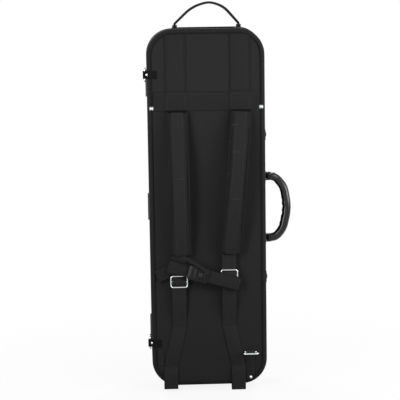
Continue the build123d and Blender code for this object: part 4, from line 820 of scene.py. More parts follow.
@dataclass(frozen=True)
class StitchLine:
    """A row of sewn stitches as small rounded bars."""

    length: float = 3.2
    gap: float = 1.6
    radius: float = 0.35
    sink: float = 0.3

    def straight(self, start: Vector, end: Vector) -> Object:
        """Sew a straight row on cloth that faces -y.

        Args:
            start: Where it begins, on the cloth.
            end: Where it ends.

        Returns:
            The row.
        """
        run = end - start
        pitch = (self.length + self.gap) * MM
        count = max(1, int(run.length / pitch))
        shift = run.normalized() * pitch
        piece = self.bar(start + shift / 2, run, -Y_AXIS)
        if count > 1:
            Bench.modify(
                piece, "ARRAY", count=count, use_relative_offset=False, use_constant_offset=True,
                constant_offset_displace=shift,
            )
        return piece

    def bar(self, place: Vector, run: Vector, lift: Vector) -> Object:
        """Make one stitch that lies along a direction.

        Args:
            place: Its middle, on the cloth.
            run: Its direction.
            lift: The cloth's outward normal.

        Returns:
            The stitch.
        """
        along, up = run.normalized(), lift.normalized()
        turn = Matrix((along, up.cross(along), up)).transposed().to_4x4()
        size = Matrix.Diagonal((self.length * MM / 2, self.radius * MM, self.radius * MM, 1))
        piece = Bench.add(bpy.ops.mesh.primitive_uv_sphere_add, segments=6, ring_count=4, radius=1)
        Bench.settle(piece, Matrix.Translation(place + up * self.radius * MM * self.sink) @ turn @ size)
        Bench.smooth(piece, 80)
        return piece


@dataclass
class SewnCopy:
    """A soft CAD solid remade from a merged copy of its mesh, with rounder edges."""

    node: str
    name: str
    finish: Finish
    rounding: float = 1.0
    voxel: float = 0.0
    body: Body = Body.BACK
    slot: Slot | None = None

    def build(self) -> Object:
        """Copy the node's mesh, merge it, round it and dress it.

        Returns:
            The piece.
        """
        piece = bpy.data.objects.new(self.name, bpy.data.objects[self.node].data.copy())
        bpy.context.scene.collection.objects.link(piece)
        Bench.outward(piece, 10 * MERGE)
        if self.voxel:
            Bench.modify(piece, "REMESH", mode="VOXEL", voxel_size=self.voxel * MM)
            Bench.modify(piece, "SMOOTH", factor=0.5, iterations=3)
            Bench.smooth(piece, 180)
        else:
            Bench.soften(piece, self.rounding)
            Bench.smooth(piece, 40)
        return Bench.dress(self.name, piece, self.finish, [self.node], self.body, self.slot)


# The case's cloth


@dataclass
class Cloth:
    """Nylon skins of both halves, with the piping round their big faces."""

    corner: float = 57.0
    edge: float = 9.0
    thickness: float = 1.4
    piping: float = 1.6

    def skin(self, half: Half) -> None:
        """Make one half's skin from a block with round corners and a round edge.

        Args:
            half: Which half it is.
        """
        name = half.name.lower()
        low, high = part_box(name + "_cover")
        piece = Bench.block(low, high)
        face_y = low.y if half is Half.BACK else high.y
        with Bench.editing(piece):
            Bench.pick(piece, "EDGE", lambda e: abs(e.verts[0].co.y - e.verts[1].co.y) > 1e-4)
            bpy.ops.mesh.bevel(offset=self.corner * MM, segments=14, affect="EDGES")
            Bench.pick(piece, "EDGE", lambda e: all(abs(v.co.y - face_y) < MERGE for v in e.verts))
            bpy.ops.mesh.bevel(offset=self.edge * MM, segments=5, affect="EDGES")
            Bench.pick(piece, "FACE", lambda f: f.normal.y * half.value < -0.9)
            bpy.ops.mesh.delete(type="FACE")
        Bench.modify(piece, "SOLIDIFY", thickness=self.thickness * MM, offset=-1.0)
        Bench.smooth(piece, 40)
        Bench.dress(name + "_skin", piece, CASE_CLOTH, [name + "_cover"], Body[half.name])

    def cord(self, half: Half) -> None:
        """Make one half's piping: a cloth-covered cord round the big face.

        Args:
            half: Which half it is.
        """
        name = half.name.lower() + "_piping"
        piece = wire_loop(*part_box(name), (self.corner - self.edge) * MM, self.piping * MM)
        Bench.dress(name + "_cord", piece, PIPING_CLOTH, [name], Body[half.name])

    def build(self) -> None:
        """Build both halves."""
        for half in Half:
            self.skin(half)
            self.cord(half)


# The carrying gear on the back


@dataclass
class Yoke:
    """Band across the back with the flat strap ends that it holds."""

    space: CaseSpace
    left: float = -114.0
    right: float = 107.0
    bottom: float = 628.5
    height: float = 41.0
    thickness: float = 2.4
    bridge_gap: float = 1.2
    bridge_slope: float = 2.0
    strap_xs: Pair = (-66.0, 74.0)
    strap_zs: Pair = (598.5, 793.0)
    strap_width: float = 44.0
    strap_thickness: float = 2.0
    strap_web: float = 1.4
    hem: float = 4.5
    # Width and thickness of the dark strip of painted shadow along the band's lower edge, and of the tapes on the
    # strap ends
    shadow_strip_size: Pair = (3.4, 0.9)
    tape: Pair = (3.2, 0.8)
    shadow_strip_sink: float = 0.2
    shadow_strip_overlap: float = 1.0
    seam_inset: float = 3.0
    seam_start: float = 4.0
    seam_clear: float = 27.0
    tape_sink: float = 0.3

    def band(self) -> None:
        """Make the band, bridged over the strap ends."""
        half = self.strap_width / 2 + self.bridge_gap
        foot = half + self.bridge_slope
        back = PANEL_Y - self.thickness / 2
        front = PANEL_Y - self.strap_thickness - self.thickness / 2
        profile = [(self.left, back)]
        for x in self.strap_xs:
            profile += [(x - foot, back), (x - half, front), (x + half, front), (x + foot, back)]
        profile.append((self.right, back))
        path = [(x, y, self.bottom + self.height / 2) for x, y in profile]
        band = self.space.route(path, [2.0] * (len(path) - 2)).ribbon(Z_AXIS, self.height, self.thickness)
        Bench.dress("yoke_band", band, YOKE_CLOTH, ["strap_yoke"])

    def stitches(self) -> None:
        """Sew a box over each strap end and two rows along the rest of the band."""
        low, high = self.bottom + self.hem, self.bottom + self.height - self.hem
        reach = self.strap_width / 2 - self.seam_inset
        flat_y = PANEL_Y - self.thickness
        over_y = flat_y - self.strap_thickness
        seams = []
        for x in self.strap_xs:
            near, far = x - reach, x + reach
            seams += [(near, low, far, low, over_y), (near, high, far, high, over_y)]
            seams += [(near, low, near, high, over_y), (far, low, far, high, over_y)]
        left, right = self.strap_xs
        for z in (low, high):
            seams.append((self.left + self.seam_start, z, left - self.seam_clear, z, flat_y))
            seams.append((left + self.seam_clear, z, right - self.seam_clear, z, flat_y))
        at = self.space.at
        rows = [StitchLine().straight(at(x, y, z), at(end_x, y, end_z)) for x, z, end_x, end_z, y in seams]
        Bench.dress("yoke_stitches", rows, STITCHING)

    def upright(self, x: float, y: float, width: float, thickness: float) -> Object:
        """Make one straight strip as long as the strap ends."""
        return self.space.route([(x, y, z) for z in self.strap_zs]).ribbon(X_AXIS, width, thickness)

    def strap_ends(self) -> None:
        """Make the two flat strap ends, with raised tapes down their long edges."""
        y = PANEL_Y - self.strap_thickness / 2
        ends = [self.upright(x, y, self.strap_width, self.strap_web) for x in self.strap_xs]
        Bench.dress("strap_ends", ends, FLAT_STRAP_CLOTH, ["strap_anchors"])
        edge, y = (self.strap_width - self.tape[0]) / 2, PANEL_Y - self.strap_thickness + self.tape_sink
        tapes = [self.upright(x + side * edge, y, *self.tape) for x in self.strap_xs for side in (-1, 1)]
        Bench.dress("strap_end_tapes", tapes, YOKE_CLOTH)

    def painted_shadow_strip(self) -> None:
        """Lay a dark strip of painted shadow along the band's lower edge over each strap end."""
        y = PANEL_Y - self.strap_thickness - self.thickness + self.shadow_strip_sink
        half = self.strap_width / 2 + self.shadow_strip_overlap
        paths = [[(x - half, y, self.bottom), (x + half, y, self.bottom)] for x in self.strap_xs]
        folds = [self.space.route(path).ribbon(Z_AXIS, *self.shadow_strip_size) for path in paths]
        # The dark strip is painted shadow under the band's edge
        Bench.dress("yoke_hem", folds, TAB_WEB_AND_SHADOW_STRIP)

    def build(self) -> None:
        """Build the yoke."""
        self.strap_ends()
        self.band()
        self.painted_shadow_strip()
        self.stitches()


@dataclass
class ShoulderStrap:
    """Padded strap that bows away from the panel, bound round its edge, with a webbing sewn down its middle."""

    space: CaseSpace
    name: str
    top_x: float
    bottom_x: float
    tacks_at: tuple[Triple, ...]
    width: float = 46.0
    thickness: float = 9.0
    top_z: float = 625.7
    bottom_z: float = 313.0
    belly_z: float = 455.0
    top_y: float = -80.3
    belly_y: float = -102.0
    bottom_y: float = -86.0
    lean_rise: float = 2.8
    pad_corner: float = 2.4
    swell: float = 2.0
    slim_share: float = 0.8
    voxel: float = 3.2
    pressure: float = 4.0
    frames: int = 20
    arc_steps: int = 44
    # Width, thickness and corner radius of the tape round each edge and of the webbing down the middle
    tape: Triple = (5.2, 6.48, 1.6)
    webbing: Triple = (25.0, 1.4, 0.4)
    webbing_sink: float = 0.2
    tack: StitchLine = StitchLine(3.4, 0.2, 0.7)
    tack_lift: float = 0.6
    tack_step: float = 1.2
    seam_x: float = 10.5
    seam_lift: float = 0.5

    def tilt(self) -> float:
        """Give the lean of the strap in degrees, by the right-hand rule about y."""
        return -math.degrees(math.atan2(self.bottom_x - self.top_x, self.top_z + self.lean_rise - self.bottom_z))

    def lean(self, piece: Object) -> None:
        """Turn an upright piece to the strap's lean."""
        Bench.turn(piece, self.tilt(), self.space.at(self.top_x, 0, self.top_z))

    def arc(self, offset: float, x: float) -> tuple[Vector, Vector, float]:
        """Find the arc through the strap's three known depths, moved outwards by an offset.

        Args:
            offset: The distance out from the inner face, in millimetres.
            x: The place across the strap.

        Returns:
            The arc's start, its centre and its angle.
        """
        inner = [(self.top_y, self.top_z), (self.belly_y, self.belly_z), (self.bottom_y, self.bottom_z)]
        (ay, az), (by, bz), (cy, cz) = [(y - offset, z) for y, z in inner]
        double = 2 * (ay * (bz - cz) + by * (cz - az) + cy * (az - bz))
        sums = [y * y + z * z for y, z in ((ay, az), (by, bz), (cy, cz))]
        centre_y = (sums[0] * (bz - cz) + sums[1] * (cz - az) + sums[2] * (az - bz)) / double
        centre_z = (sums[0] * (cy - by) + sums[1] * (ay - cy) + sums[2] * (by - ay)) / double
        angle = Vector((ay - centre_y, az - centre_z)).angle(Vector((cy - centre_y, cz - centre_z)))
        return self.space.at(x, ay, az), self.space.at(x, centre_y, centre_z), angle

    def swept(self, x: float, offset: float, width: float, thickness: float, corner: float) -> Object:
        """Sweep a section down the strap's arc.

        Args:
            x: The place across the strap.
            offset: The distance of the section's middle from the strap's inner face.
            width: The section's width.
            thickness: The section's thickness.
            corner: The radius of its corners.

        Returns:
            The piece, leaning as the strap does.
        """
        start, centre, angle = self.arc(offset, self.top_x + x)
        # The section's second axis points along the arm of the arc
        out = (start - centre).normalized()
        turn = Matrix((X_AXIS, out, X_AXIS.cross(out))).transposed()
        piece = Bench.section(start, width * MM, thickness * MM, corner * MM, turn)
        with Bench.editing(piece, "FACE"):
            # Spin turns against the right-hand rule, and the strap runs down from the top
            bpy.ops.mesh.spin(steps=self.arc_steps, angle=-angle, center=centre, axis=X_AXIS)
        Bench.outward(piece)
        self.lean(piece)
        Bench.smooth(piece, 50)
        return piece

    def inflate(self, core: Object) -> None:
        """Blow the slim core up into a soft pad by a short cloth simulation, each point by the swell at most.

        Args:
            core: The core.
        """
        Bench.modify(core, "REMESH", mode="VOXEL", voxel_size=self.voxel * MM)
        before = Bench.points(core)
        cloth = core.modifiers.new("Cloth", "CLOTH")
        cloth.settings.use_pressure = True
        cloth.settings.uniform_pressure_force = self.pressure
        cloth.settings.effector_weights.gravity = 0.0
        cloth.settings.quality = 4
        cloth.collision_settings.use_collision = False
        cloth.point_cache.frame_start, cloth.point_cache.frame_end = 1, self.frames
        for frame in range(1, self.frames + 1):
            bpy.context.scene.frame_set(frame)
        move = Bench.points(core.evaluated_get(bpy.context.evaluated_depsgraph_get())) - before
        core.modifiers.remove(cloth)
        bpy.context.scene.frame_set(1)
        size = np.linalg.norm(move, axis=1, keepdims=True)
        move *= np.minimum(1.0, self.swell * MM / np.maximum(size, 1e-9))
        core.data.vertices.foreach_set("co", (before + move).ravel())
        core.data.update()
        Bench.modify(core, "SUBSURF", levels=1, render_levels=1)
        Bench.smooth(core, 180)

    def pad(self) -> Object:
        """Make the pad: a slim swept core, blown up.

        Returns:
            The pad.
        """
        slim = self.swell * self.slim_share
        core = self.swept(0, self.thickness / 2, self.width - 2 * slim, self.thickness - 2 * slim, self.pad_corner)
        self.inflate(core)
        return Bench.dress(self.name + "_pad", core, PAD_CLOTH, [self.name])

    def covers(self) -> None:
        """Make the tape that wraps each long edge, and the webbing down the middle of the outer face."""
        reach = (self.width - self.tape[0]) / 2
        tapes = [self.swept(side * reach, self.thickness / 2, *self.tape) for side in (-1, 1)]
        Bench.dress(self.name + "_binding", tapes, BINDING_CLOTH)
        webbing = self.swept(0, self.thickness - self.webbing_sink, *self.webbing)
        # On so flat an arc a straight route is close enough for the map
        route = self.space.route([(self.top_x, 0, self.top_z), (self.bottom_x, 0, self.bottom_z)])
        route.map_strap(webbing, (route.points[1] - route.points[0]).cross(Y_AXIS).normalized())
        Bench.dress(self.name + "_webbing", webbing, STRAP_WEB)

    def tacks(self) -> None:
        """Sew the bar tacks across the webbing and the rows along its edges."""
        rows = []
        fine = StitchLine()
        for left, right, height in self.tacks_at:
            y = self.depth_at(height) - self.thickness - self.tack_lift
            for z in (height - self.tack_step, height + self.tack_step):
                rows.append(self.tack.straight(self.space.at(left, y, z), self.space.at(right, y, z)))
        for side in (-1, 1):
            start, centre, angle = self.arc(self.thickness + self.seam_lift, self.top_x + side * self.seam_x)
            arm = start - centre
            stitch = fine.bar(start, X_AXIS.cross(arm), arm)
            count = int(angle * arm.length / ((fine.length + fine.gap) * MM))
            with Bench.editing(stitch, "VERT"):
                bpy.ops.mesh.spin(steps=count, dupli=True, angle=-angle, center=centre, axis=X_AXIS)
            self.lean(stitch)
            rows.append(stitch)
        Bench.dress(self.name + "_stitches", rows, STITCHING, slot=Slot.PAD)

    def depth_at(self, z: float) -> float:
        """Give the depth of the strap's inner face at a height, in millimetres.

        Args:
            z: The height.

        Returns:
            The depth.
        """
        start, centre, _ = self.arc(0, self.top_x)
        radius = (start - centre).length / MM
        middle = (centre - self.space.origin) / MM
        return middle.y - math.sqrt(radius * radius - (z - middle.z) ** 2)

    def build(self) -> None:
        """Build the strap."""
        pad = self.pad()
        self.covers()
        self.tacks()


@dataclass
class LowerWebbing:
    """Webbing that hangs from a pad, lies down on the panel and loops under the bottom edge."""

    space: CaseSpace
    name: str
    x: float
    foot_x: float
    clearance: float
    width: float = 31.0
    thickness: float = 1.8
    top_z: float = 312.2
    seat: float = 0.3
    hang_out: Pair = (12.0, 9.5)
    hang_zs: Triple = (205.0, 160.0, 150.0)
    hang_bends: Pair = (30.0, 15.0)
    loop_zs: Triple = (60.0, 56.0, 44.0)
    loop_bend: float = 4.5
    loop_out: float = 2.3
    loop_depth: float = 19.0
    loop_rise: float = 22.0

    def build(self) -> None:
        """Build the webbing as three runs that meet edge to edge."""
        skin = PANEL_Y - self.seat - self.thickness / 2
        over = skin - self.loop_out
        inside = over + self.loop_depth
        low = self.clearance + self.thickness / 2
        high, landed, hung = self.hang_zs
        foot, lifted, turned = self.loop_zs
        out, near = (PANEL_Y - reach for reach in self.hang_out)
        hang = [(out, self.top_z), (near, high), (skin, landed), (skin, hung)]
        loop = [(skin, foot), (skin, lifted), (over, turned), (over, low), (inside, low)]
        loop.append((inside, low + self.loop_rise))
        routes = [
            self.space.route([(self.x, y, z) for y, z in hang], self.hang_bends),
            self.space.route([(self.x, skin, hung), (self.foot_x, skin, foot)]),
            self.space.route([(self.foot_x, y, z) for y, z in loop], [self.loop_bend] * 4),
        ]
        runs = [route.ribbon(X_AXIS, self.width, self.thickness) for route in routes]
        Bench.dress(self.name + "_strap", runs, STRAP_WEB, [self.name])


@dataclass
class WaistBelt:
    """Waist belt looped round both webbings and closed by the side-release buckle."""

    space: CaseSpace
    width: float = 27.0
    thickness: float = 1.6
    front_gap: float = 23.0
    bend: float = 4.0
    out: float = 23.2
    lap: float = 15.0
    clasp: Pair = (-24.2, 272.5)
    clasp_tilt: float = 15.5
    clasp_reach: float = 23.4
    # Each webbing's side of the case: x and z where the belt passes it, and the belt's gap from the panel behind it
    passes: tuple[tuple[int, Triple], ...] = ((-1, (-66.0, 284.0, 8.81)), (1, (44.6, 253.0, 8.08)))
    # Each rib of the clasp: its left and right end from the clasp's middle, and half its height
    ribs: tuple[Triple, ...] = ((-19.0, -15.5, 9.0), (-9.5, -5.5, 9.5), (0.5, 10.5, 4.5), (14.0, 15.5, 7.0))
    rib_rise: float = 0.6
    rib_root: float = 0.9
    rib_rounding: float = 0.5
    tail: float = 52.0
    tail_tilt: float = 21.0
    loose_line: tuple[Pair, ...] = ((-60, 311), (-46, 306.5), (-30, 296), (-10, 283), (-1, 272))
    loose_bends: tuple[float, ...] = (30.0, 40.0, 40.0)
    loose_y: float = -107.5
    loose_width: float = 11.0
    loose_tilt: float = 35.0

    def part(self, side: int, x: float, z: float, gap: float) -> Object:
        """Make one half of the belt, from the clasp round a webbing.

        Args:
            side: -1 for the left webbing and 1 for the right one.
            x: Where the belt passes the webbing.
            z: Its height there.
            gap: Its distance from the panel behind the webbing.

        Returns:
            The belt half.
        """
        lean = math.radians(self.clasp_tilt)
        end_x = self.clasp[0] + side * self.clasp_reach * math.cos(lean)
        end_z = self.clasp[1] - side * self.clasp_reach * math.sin(lean)
        length = math.hypot(end_x - x, end_z - z)
        tilt = math.degrees(math.atan2(side * (end_z - z), side * (x - end_x)))
        rear, front = PANEL_Y - gap, PANEL_Y - self.front_gap
        turn_x = x + side * self.out
        path = [(x - side * self.lap, rear), (turn_x, rear), (turn_x, front), (x - side * length, front)]
        route = self.space.route([(px, y, z) for px, y in path], [self.bend] * 2, arc_step=1.5)
        piece = route.ribbon(Z_AXIS, self.width, self.thickness)
        Bench.turn(piece, tilt, self.space.at(x, 0, z))
        return piece

    def tail_end(self) -> Object:
        """Make the tail behind the left webbing.

        Returns:
            The tail.
        """
        x, z, gap = self.passes[0][1]
        path = [(x - self.tail, PANEL_Y - gap, z), (x, PANEL_Y - gap, z)]
        tail = self.space.route(path).ribbon(Z_AXIS, self.width, self.thickness)
        Bench.turn(tail, -self.tail_tilt, self.space.at(*path[1]))
        return tail

    def loose_end(self) -> None:
        """Make the belt's loose end, which curls over the top of the clasp."""
        route = self.space.route([(x, self.loose_y, z) for x, z in self.loose_line], self.loose_bends, arc_step=2.0)
        tilt = math.radians(self.loose_tilt)
        across = Vector((0, math.cos(tilt), math.sin(tilt)))
        Bench.dress("loose_belt_end", route.ribbon(across, self.loose_width, self.thickness), BELT_WEB)

    def clasp_relief(self) -> None:
        """Make the raised ribs and the bar on the clasp's outer face."""
        x, z = self.clasp
        face = (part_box("belt_socket")[0].y - self.space.origin.y) / MM
        parts = []
        for left, right, half in self.ribs:
            corner = self.space.at(x + left, face - self.rib_root, z - half)
            part = Bench.block(corner, self.space.at(x + right, face + self.rib_rise, z + half))
            Bench.soften(part, self.rib_rounding)
            parts.append(part)
        relief = Bench.join(parts)
        Bench.turn(relief, self.clasp_tilt, self.space.at(x, face, z))
        Bench.smooth(relief, 50)
        Bench.dress("clasp_relief", relief, POLISHED_PLASTIC)

    def build(self) -> None:
        """Build both halves, the loose end and the clasp."""
        left, right = (self.part(side, *place) for side, place in self.passes)
        Bench.dress("left_belt", [left, self.tail_end()], BELT_WEB, ["left_waist_belt"])
        Bench.dress("right_belt", right, BELT_WEB, ["right_waist_belt"])
        self.loose_end()
        for part in ("socket", "plug"):
            SewnCopy("belt_" + part, "clasp_" + part, BLACK_PLASTIC, rounding=0.9).build()
        self.clasp_relief()


@dataclass
class SlideBuckles:
    """Slide buckles of bent chromed wire, each with a middle bar that the webbing turns over."""

    nodes: tuple[str, str] = ("left_slide_buckle", "right_slide_buckle")
    wire: float = 1.6
    corner: float = 4.2
    bar_share: float = 0.9
    web_width: float = 30.6
    web_thickness: float = 1.6
    web_zs: Triple = (9.4, 8.2, 3.4)
    web_bends: tuple[float, ...] = (1.5, 2.0, 2.0, 1.5)
    web_tuck: float = 0.5
    web_gap: float = 0.1

    def frame(self, node: str) -> None:
        """Bend a buckle's frame and set its bar.

        Args:
            node: The buckle's CAD node.
        """
        low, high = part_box(node)
        middle, radius = (low + high) / 2, self.wire * MM
        frame = wire_loop(low, high, self.corner * MM, radius)
        length = high.x - low.x - 2 * radius
        bar = Bench.disc(middle, X_AXIS, vertices=12, radius=radius * self.bar_share, depth=length)
        Bench.smooth(bar, 60)
        Bench.dress(node + "_wire", [frame, bar], BRIGHT_CHROME, [node])

    def turn(self, node: str) -> None:
        """Lay the webbing over a buckle's bar.

        Args:
            node: The buckle's CAD node.
        """
        low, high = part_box(node)
        middle = (low + high) / 2
        under, over = high.y - self.web_tuck * MM, low.y - (self.web_thickness / 2 + self.web_gap) * MM
        end, foot, crest = self.web_zs
        path = [(under, end), (under, foot), (over, crest), (over, -crest), (under, -foot), (under, -end)]
        points = [Vector((middle.x, y, middle.z + z * MM)) for y, z in path]
        route = Route(points, [bend * MM for bend in self.web_bends], arc_step=1 * MM)
        Bench.dress(node + "_turn", route.ribbon(X_AXIS, self.web_width, self.web_thickness), STRAP_WEB)

    def build(self) -> None:
        """Build both buckles and their webbings."""
        for make in (self.frame, self.turn):
            for node in self.nodes:
                make(node)


@dataclass
class Handles:
    """The bowed leather carry handle and the strap handle on the top end."""

    space: CaseSpace
    strap_y: float = -40.0
    strap_line: tuple[Pair, ...] = ((-65, 809), (-27, 851), (11, 862), (42, 851), (74, 809))
    strap_bends: Triple = (83.4, 44.5, 55.6)
    grip_y: float = -42.0
    grip_z: float = 409.0
    grip_line: tuple[Pair, ...] = (
        (140.5, 341.0), (146, 341.0), (153, 342.5), (168.5, 360), (179, 406), (171, 453), (154, 474.7),
        (146, 477.0), (140.5, 477.0),
    )
    grip_bends: tuple[float, ...] = (0.0, 20.0, 50.0, 110.0, 50.0, 20.0, 0.0)
    grip_thickness: float = 19.0
    grip_width: float = 20.5
    grip_roundness: float = 0.47
    # The roll's middle line near the fingers, as a parabola: x at its crest, curvature, and the crest below grip_z
    bow: Triple = (176.6, 0.0062, 3.0)
    end_waist: float = 0.88
    end_reach: float = 20.0
    finger_pitch: float = 15.0
    finger_rise: float = 1.3
    finger_rows: float = 2.5
    # The swells fade in over a part of the thickness, from a little inside the roll's middle line
    finger_start: float = 0.12
    finger_fade: float = 0.38
    pivot_x: float = 138.0
    pivot_zs: Pair = (340.0, 478.0)
    lug_half: float = 4.4
    lug_overlap: float = 6.8
    lug_rounding: float = 0.8
    knuckle: float = 7.2
    knuckle_half: float = 5.8
    seam_shift: float = 8.2
    seam_bend: float = 0.8
    seam_pitch: float = 5.0
    seam_margin: float = 4.0

    def strap(self) -> None:
        """Make the strap handle on the top end."""
        piece = SewnCopy("top_handle", "top_strap", BELT_WEB, rounding=0.5, body=Body.TOP).build()
        path = [(x, self.strap_y, z) for x, z in self.strap_line]
        self.space.route(path, self.strap_bends).map_strap(piece, Y_AXIS)

    def grip(self) -> None:
        """Make the leather grip: a bowed roll with finger swells inside and a lug at each end for its pin."""
        route = self.space.route([(x, self.grip_y, z) for x, z in self.grip_line], self.grip_bends, arc_step=3.0)
        first, last = route.points[0], route.points[-1]
        # The section stands square to x, its width along y and its thickness along z
        turn = Matrix((Y_AXIS, Z_AXIS, X_AXIS)).transposed()
        width, thickness = self.grip_width * MM, self.grip_thickness * MM
        roll = Bench.section(first, width, thickness, thickness * self.grip_roundness, turn)
        with Bench.editing(roll, "FACE"):
            route.follow()
        Bench.outward(roll)
        Bench.smooth(roll, 40)
        with Bench.editing(roll):
            for z in (first.z, last.z):
                reach = self.end_reach * MM
                Bench.pick(roll, "VERT", lambda v: abs(v.co.x - first.x) < 1e-5 and abs(v.co.z - z) < reach)
                waist = (1, self.end_waist, self.end_waist)
                bpy.ops.transform.resize(value=waist, center_override=(first.x, first.y, z))
        self.swell(roll)
        Bench.dress("leather_grip", [roll, *self.lugs()], GRIP_LEATHER, ["carry_handle"], Body.CARRY)
        Bench.smooth(bpy.data.objects["leather_grip"], 50)

    def lugs(self) -> list[Object]:
        """Make the lug and the knuckle round the pin at each end.

        Returns:
            The lugs.
        """
        lugs = []
        lug_x = self.grip_line[0][0] + self.lug_overlap
        for z in self.pivot_zs:
            corner = self.space.at(self.pivot_x, self.grip_y - self.lug_half, z - self.knuckle_half)
            lugs.append(Bench.block(corner, self.space.at(lug_x, self.grip_y + self.lug_half, z + self.knuckle_half)))
            centre, depth = self.space.at(self.pivot_x, self.grip_y, z), 2 * self.knuckle_half * MM
            lugs.append(Bench.disc(centre, Z_AXIS, vertices=28, radius=self.knuckle * MM, depth=depth))
        for lug in lugs:
            Bench.soften(lug, self.lug_rounding)
        return lugs

    def swell(self, roll: Object) -> None:
        """Raise the finger swells along the roll's inner side.

        Args:
            roll: The grip's roll.
        """
        crest, curve, drop = self.bow
        for vertex in roll.data.vertices:
            x, _, z = (vertex.co - self.space.origin) / MM
            height = z - self.grip_z
            middle = crest - curve * (height + drop) ** 2
            inner = middle - self.grip_thickness * self.finger_start - x
            if abs(height) < self.finger_rows * self.finger_pitch and inner > 0:
                share = min(1.0, inner / (self.grip_thickness * self.finger_fade))
                wave = 0.5 + 0.5 * math.cos(2 * math.pi * (height / self.finger_pitch - 0.5))
                vertex.co.x -= self.finger_rise * share * wave * MM

    def seam(self) -> None:
        """Sew the seam along the grip's inner side."""
        path = [(x - self.seam_shift, self.grip_y, z) for x, z in self.grip_line[2:-2]]
        line = self.space.route(path, [bend * self.seam_bend for bend in self.grip_bends[2:-2]]).line(2 * MM)
        lengths = Route.lengths(line)
        margin = self.seam_margin * MM
        rows = []
        for place in np.arange(margin, lengths[-1] - margin, self.seam_pitch * MM):
            index = int(np.searchsorted(lengths, place)) - 1
            run = Vector(line[index + 1] - line[index]).normalized()
            rows.append(StitchLine().bar(Vector(line[index]) + run * (place - lengths[index]), run, -X_AXIS))
        Bench.dress("grip_seam", rows, STITCHING, body=Body.CARRY, slot=Slot.LEATHER)

    def build(self) -> None:
        """Build both handles."""
        self.strap()
        self.grip()
        self.seam()


@dataclass
class Lining:
    """Plush-covered foam inside both halves, and the zip tapes of both halves and of the music pocket."""

    copies: tuple[SewnCopy, ...] = (
        SewnCopy("back_zip_tape", "back_zip_tape_cloth", ZIP_TAPE_CLOTH, rounding=0.3),
        SewnCopy("lid_zip_tape", "lid_zip_tape_cloth", ZIP_TAPE_CLOTH, rounding=0.3, body=Body.LID),
        SewnCopy("pocket_zip", "pocket_zip_cloth", ZIP_TAPE_CLOTH, rounding=0.3, body=Body.LID),
        SewnCopy("violin_bed", "plush_bed", GREY_PLUSH, voxel=4.0),
        SewnCopy("neck_blocks", "plush_neck_blocks", GREY_PLUSH, voxel=4.0),
        SewnCopy("neck_cradle", "plush_cradle", GREY_PLUSH, voxel=3.0),
        SewnCopy("side_compartment", "plush_compartment", GREY_PLUSH),
        SewnCopy("compartment_flap", "plush_flap", GREY_PLUSH, body=Body.FLAP),
        SewnCopy("accessory_divider", "plush_divider", GREY_PLUSH),
        SewnCopy("lid_lining", "plush_lid_panel", GREY_PLUSH, body=Body.LID),
        SewnCopy("bow_tip_holders", "plush_bow_holders", GREY_PLUSH, body=Body.LID),
        SewnCopy("back_pads", "plush_back_pads", GREY_PLUSH, voxel=2.5),
        SewnCopy("neck_strap", "neck_tie", PAD_CLOTH, rounding=0.4, slot=Slot.WEBBING),
    )
    foam_backed: tuple[str, ...] = ("plush_bed", "plush_neck_blocks", "plush_cradle", "plush_back_pads")

    def build(self) -> None:
        """Build the lining and the zips."""
        for copy in self.copies:
            copy.build()


@dataclass
class Fittings:
    """The rigid CAD nodes that keep their shape and get their finish."""

    finishes: tuple[tuple[Finish, tuple[str, ...]], ...] = (
        (GREY_PLUSH, ("back_shell", "lid_shell")),
        (FOOT_RUBBER, ("back_feet", "lid_feet")),
        (PLATED_STEEL, (
            "back_hinge_leaves", "lid_hinge_leaves", "hinge_pins", "top_handle_brackets",
            "lower_zip_slider", "upper_zip_slider", "pocket_zip_slider",
        )),
        (LACQUERED_STEEL, ("carry_handle_brackets", "latch_strikes", "lower_latch_hasp", "upper_latch_hasp")),
        (BRIGHT_CHROME, ("rivets", "upper_side_ring", "lower_side_ring", "corner_ring")),
        (BLACK_PLASTIC, (
            "latch_bases", "lower_latch_thumb", "upper_latch_thumb",
            "left_bow_spinner", "right_bow_spinner", "spinner_bases", "string_tube",
        )),
    )

    def build(self) -> None:
        """Give each node its finish."""
        for finish, nodes in self.finishes:
            for node in nodes:
                Bench.paint(bpy.data.objects[node], finish)


@dataclass
class Tabs:
    """Sewn tabs with the ring bars that show at their folds, and the music pocket."""

    space: CaseSpace
    ring_bar: Pair = (-128.2, -78.8)
    ring_zs: Pair = (707.5, 114.5)
    bar_radius: float = 2.2
    bar_length: float = 5.0
    bar_rounding: float = 1.6
    strip_y: float = -80.0
    strip_dots: tuple[Pair, ...] = ((-105.6, 81.5), (-105.8, 67.8), (-106.1, 56.4))
    strip_run: Triple = (1.0, 0.0, 0.3)
    # The pocket's front: as wide and high as the pocket with its thickness on both sides
    pocket_cut: Pair = (0.224, 0.384)

    def build(self) -> None:
        """Build the tabs and the pocket."""
        SewnCopy("ring_tabs", "ring_tab_webs", TAB_WEB_AND_SHADOW_STRIP, rounding=0.3).build()
        size = {"vertices": 16, "radius": self.bar_radius * MM, "depth": self.bar_length * MM}
        bars = [Bench.disc(self.space.at(*self.ring_bar, z), Z_AXIS, **size) for z in self.ring_zs]
        for bar in bars:
            Bench.soften(bar, self.bar_rounding, segments=4)
            Bench.smooth(bar, 60)
        Bench.dress("ring_tab_bars", bars, BRIGHT_CHROME)
        SewnCopy("corner_tabs", "corner_patches", CASE_CLOTH, rounding=0.3).build()
        sewing, run = StitchLine(5.0, 1.0, 0.9), Vector(self.strip_run)
        dots = [sewing.bar(self.space.at(x, self.strip_y, z), run, -Y_AXIS) for x, z in self.strip_dots]
        Bench.dress("corner_strip_stitches", dots, STITCHING)
        pocket = SewnCopy("music_pocket", "sheet_pocket", POCKET_CLOTH, rounding=0.5, body=Body.LID).build()


# Light and camera


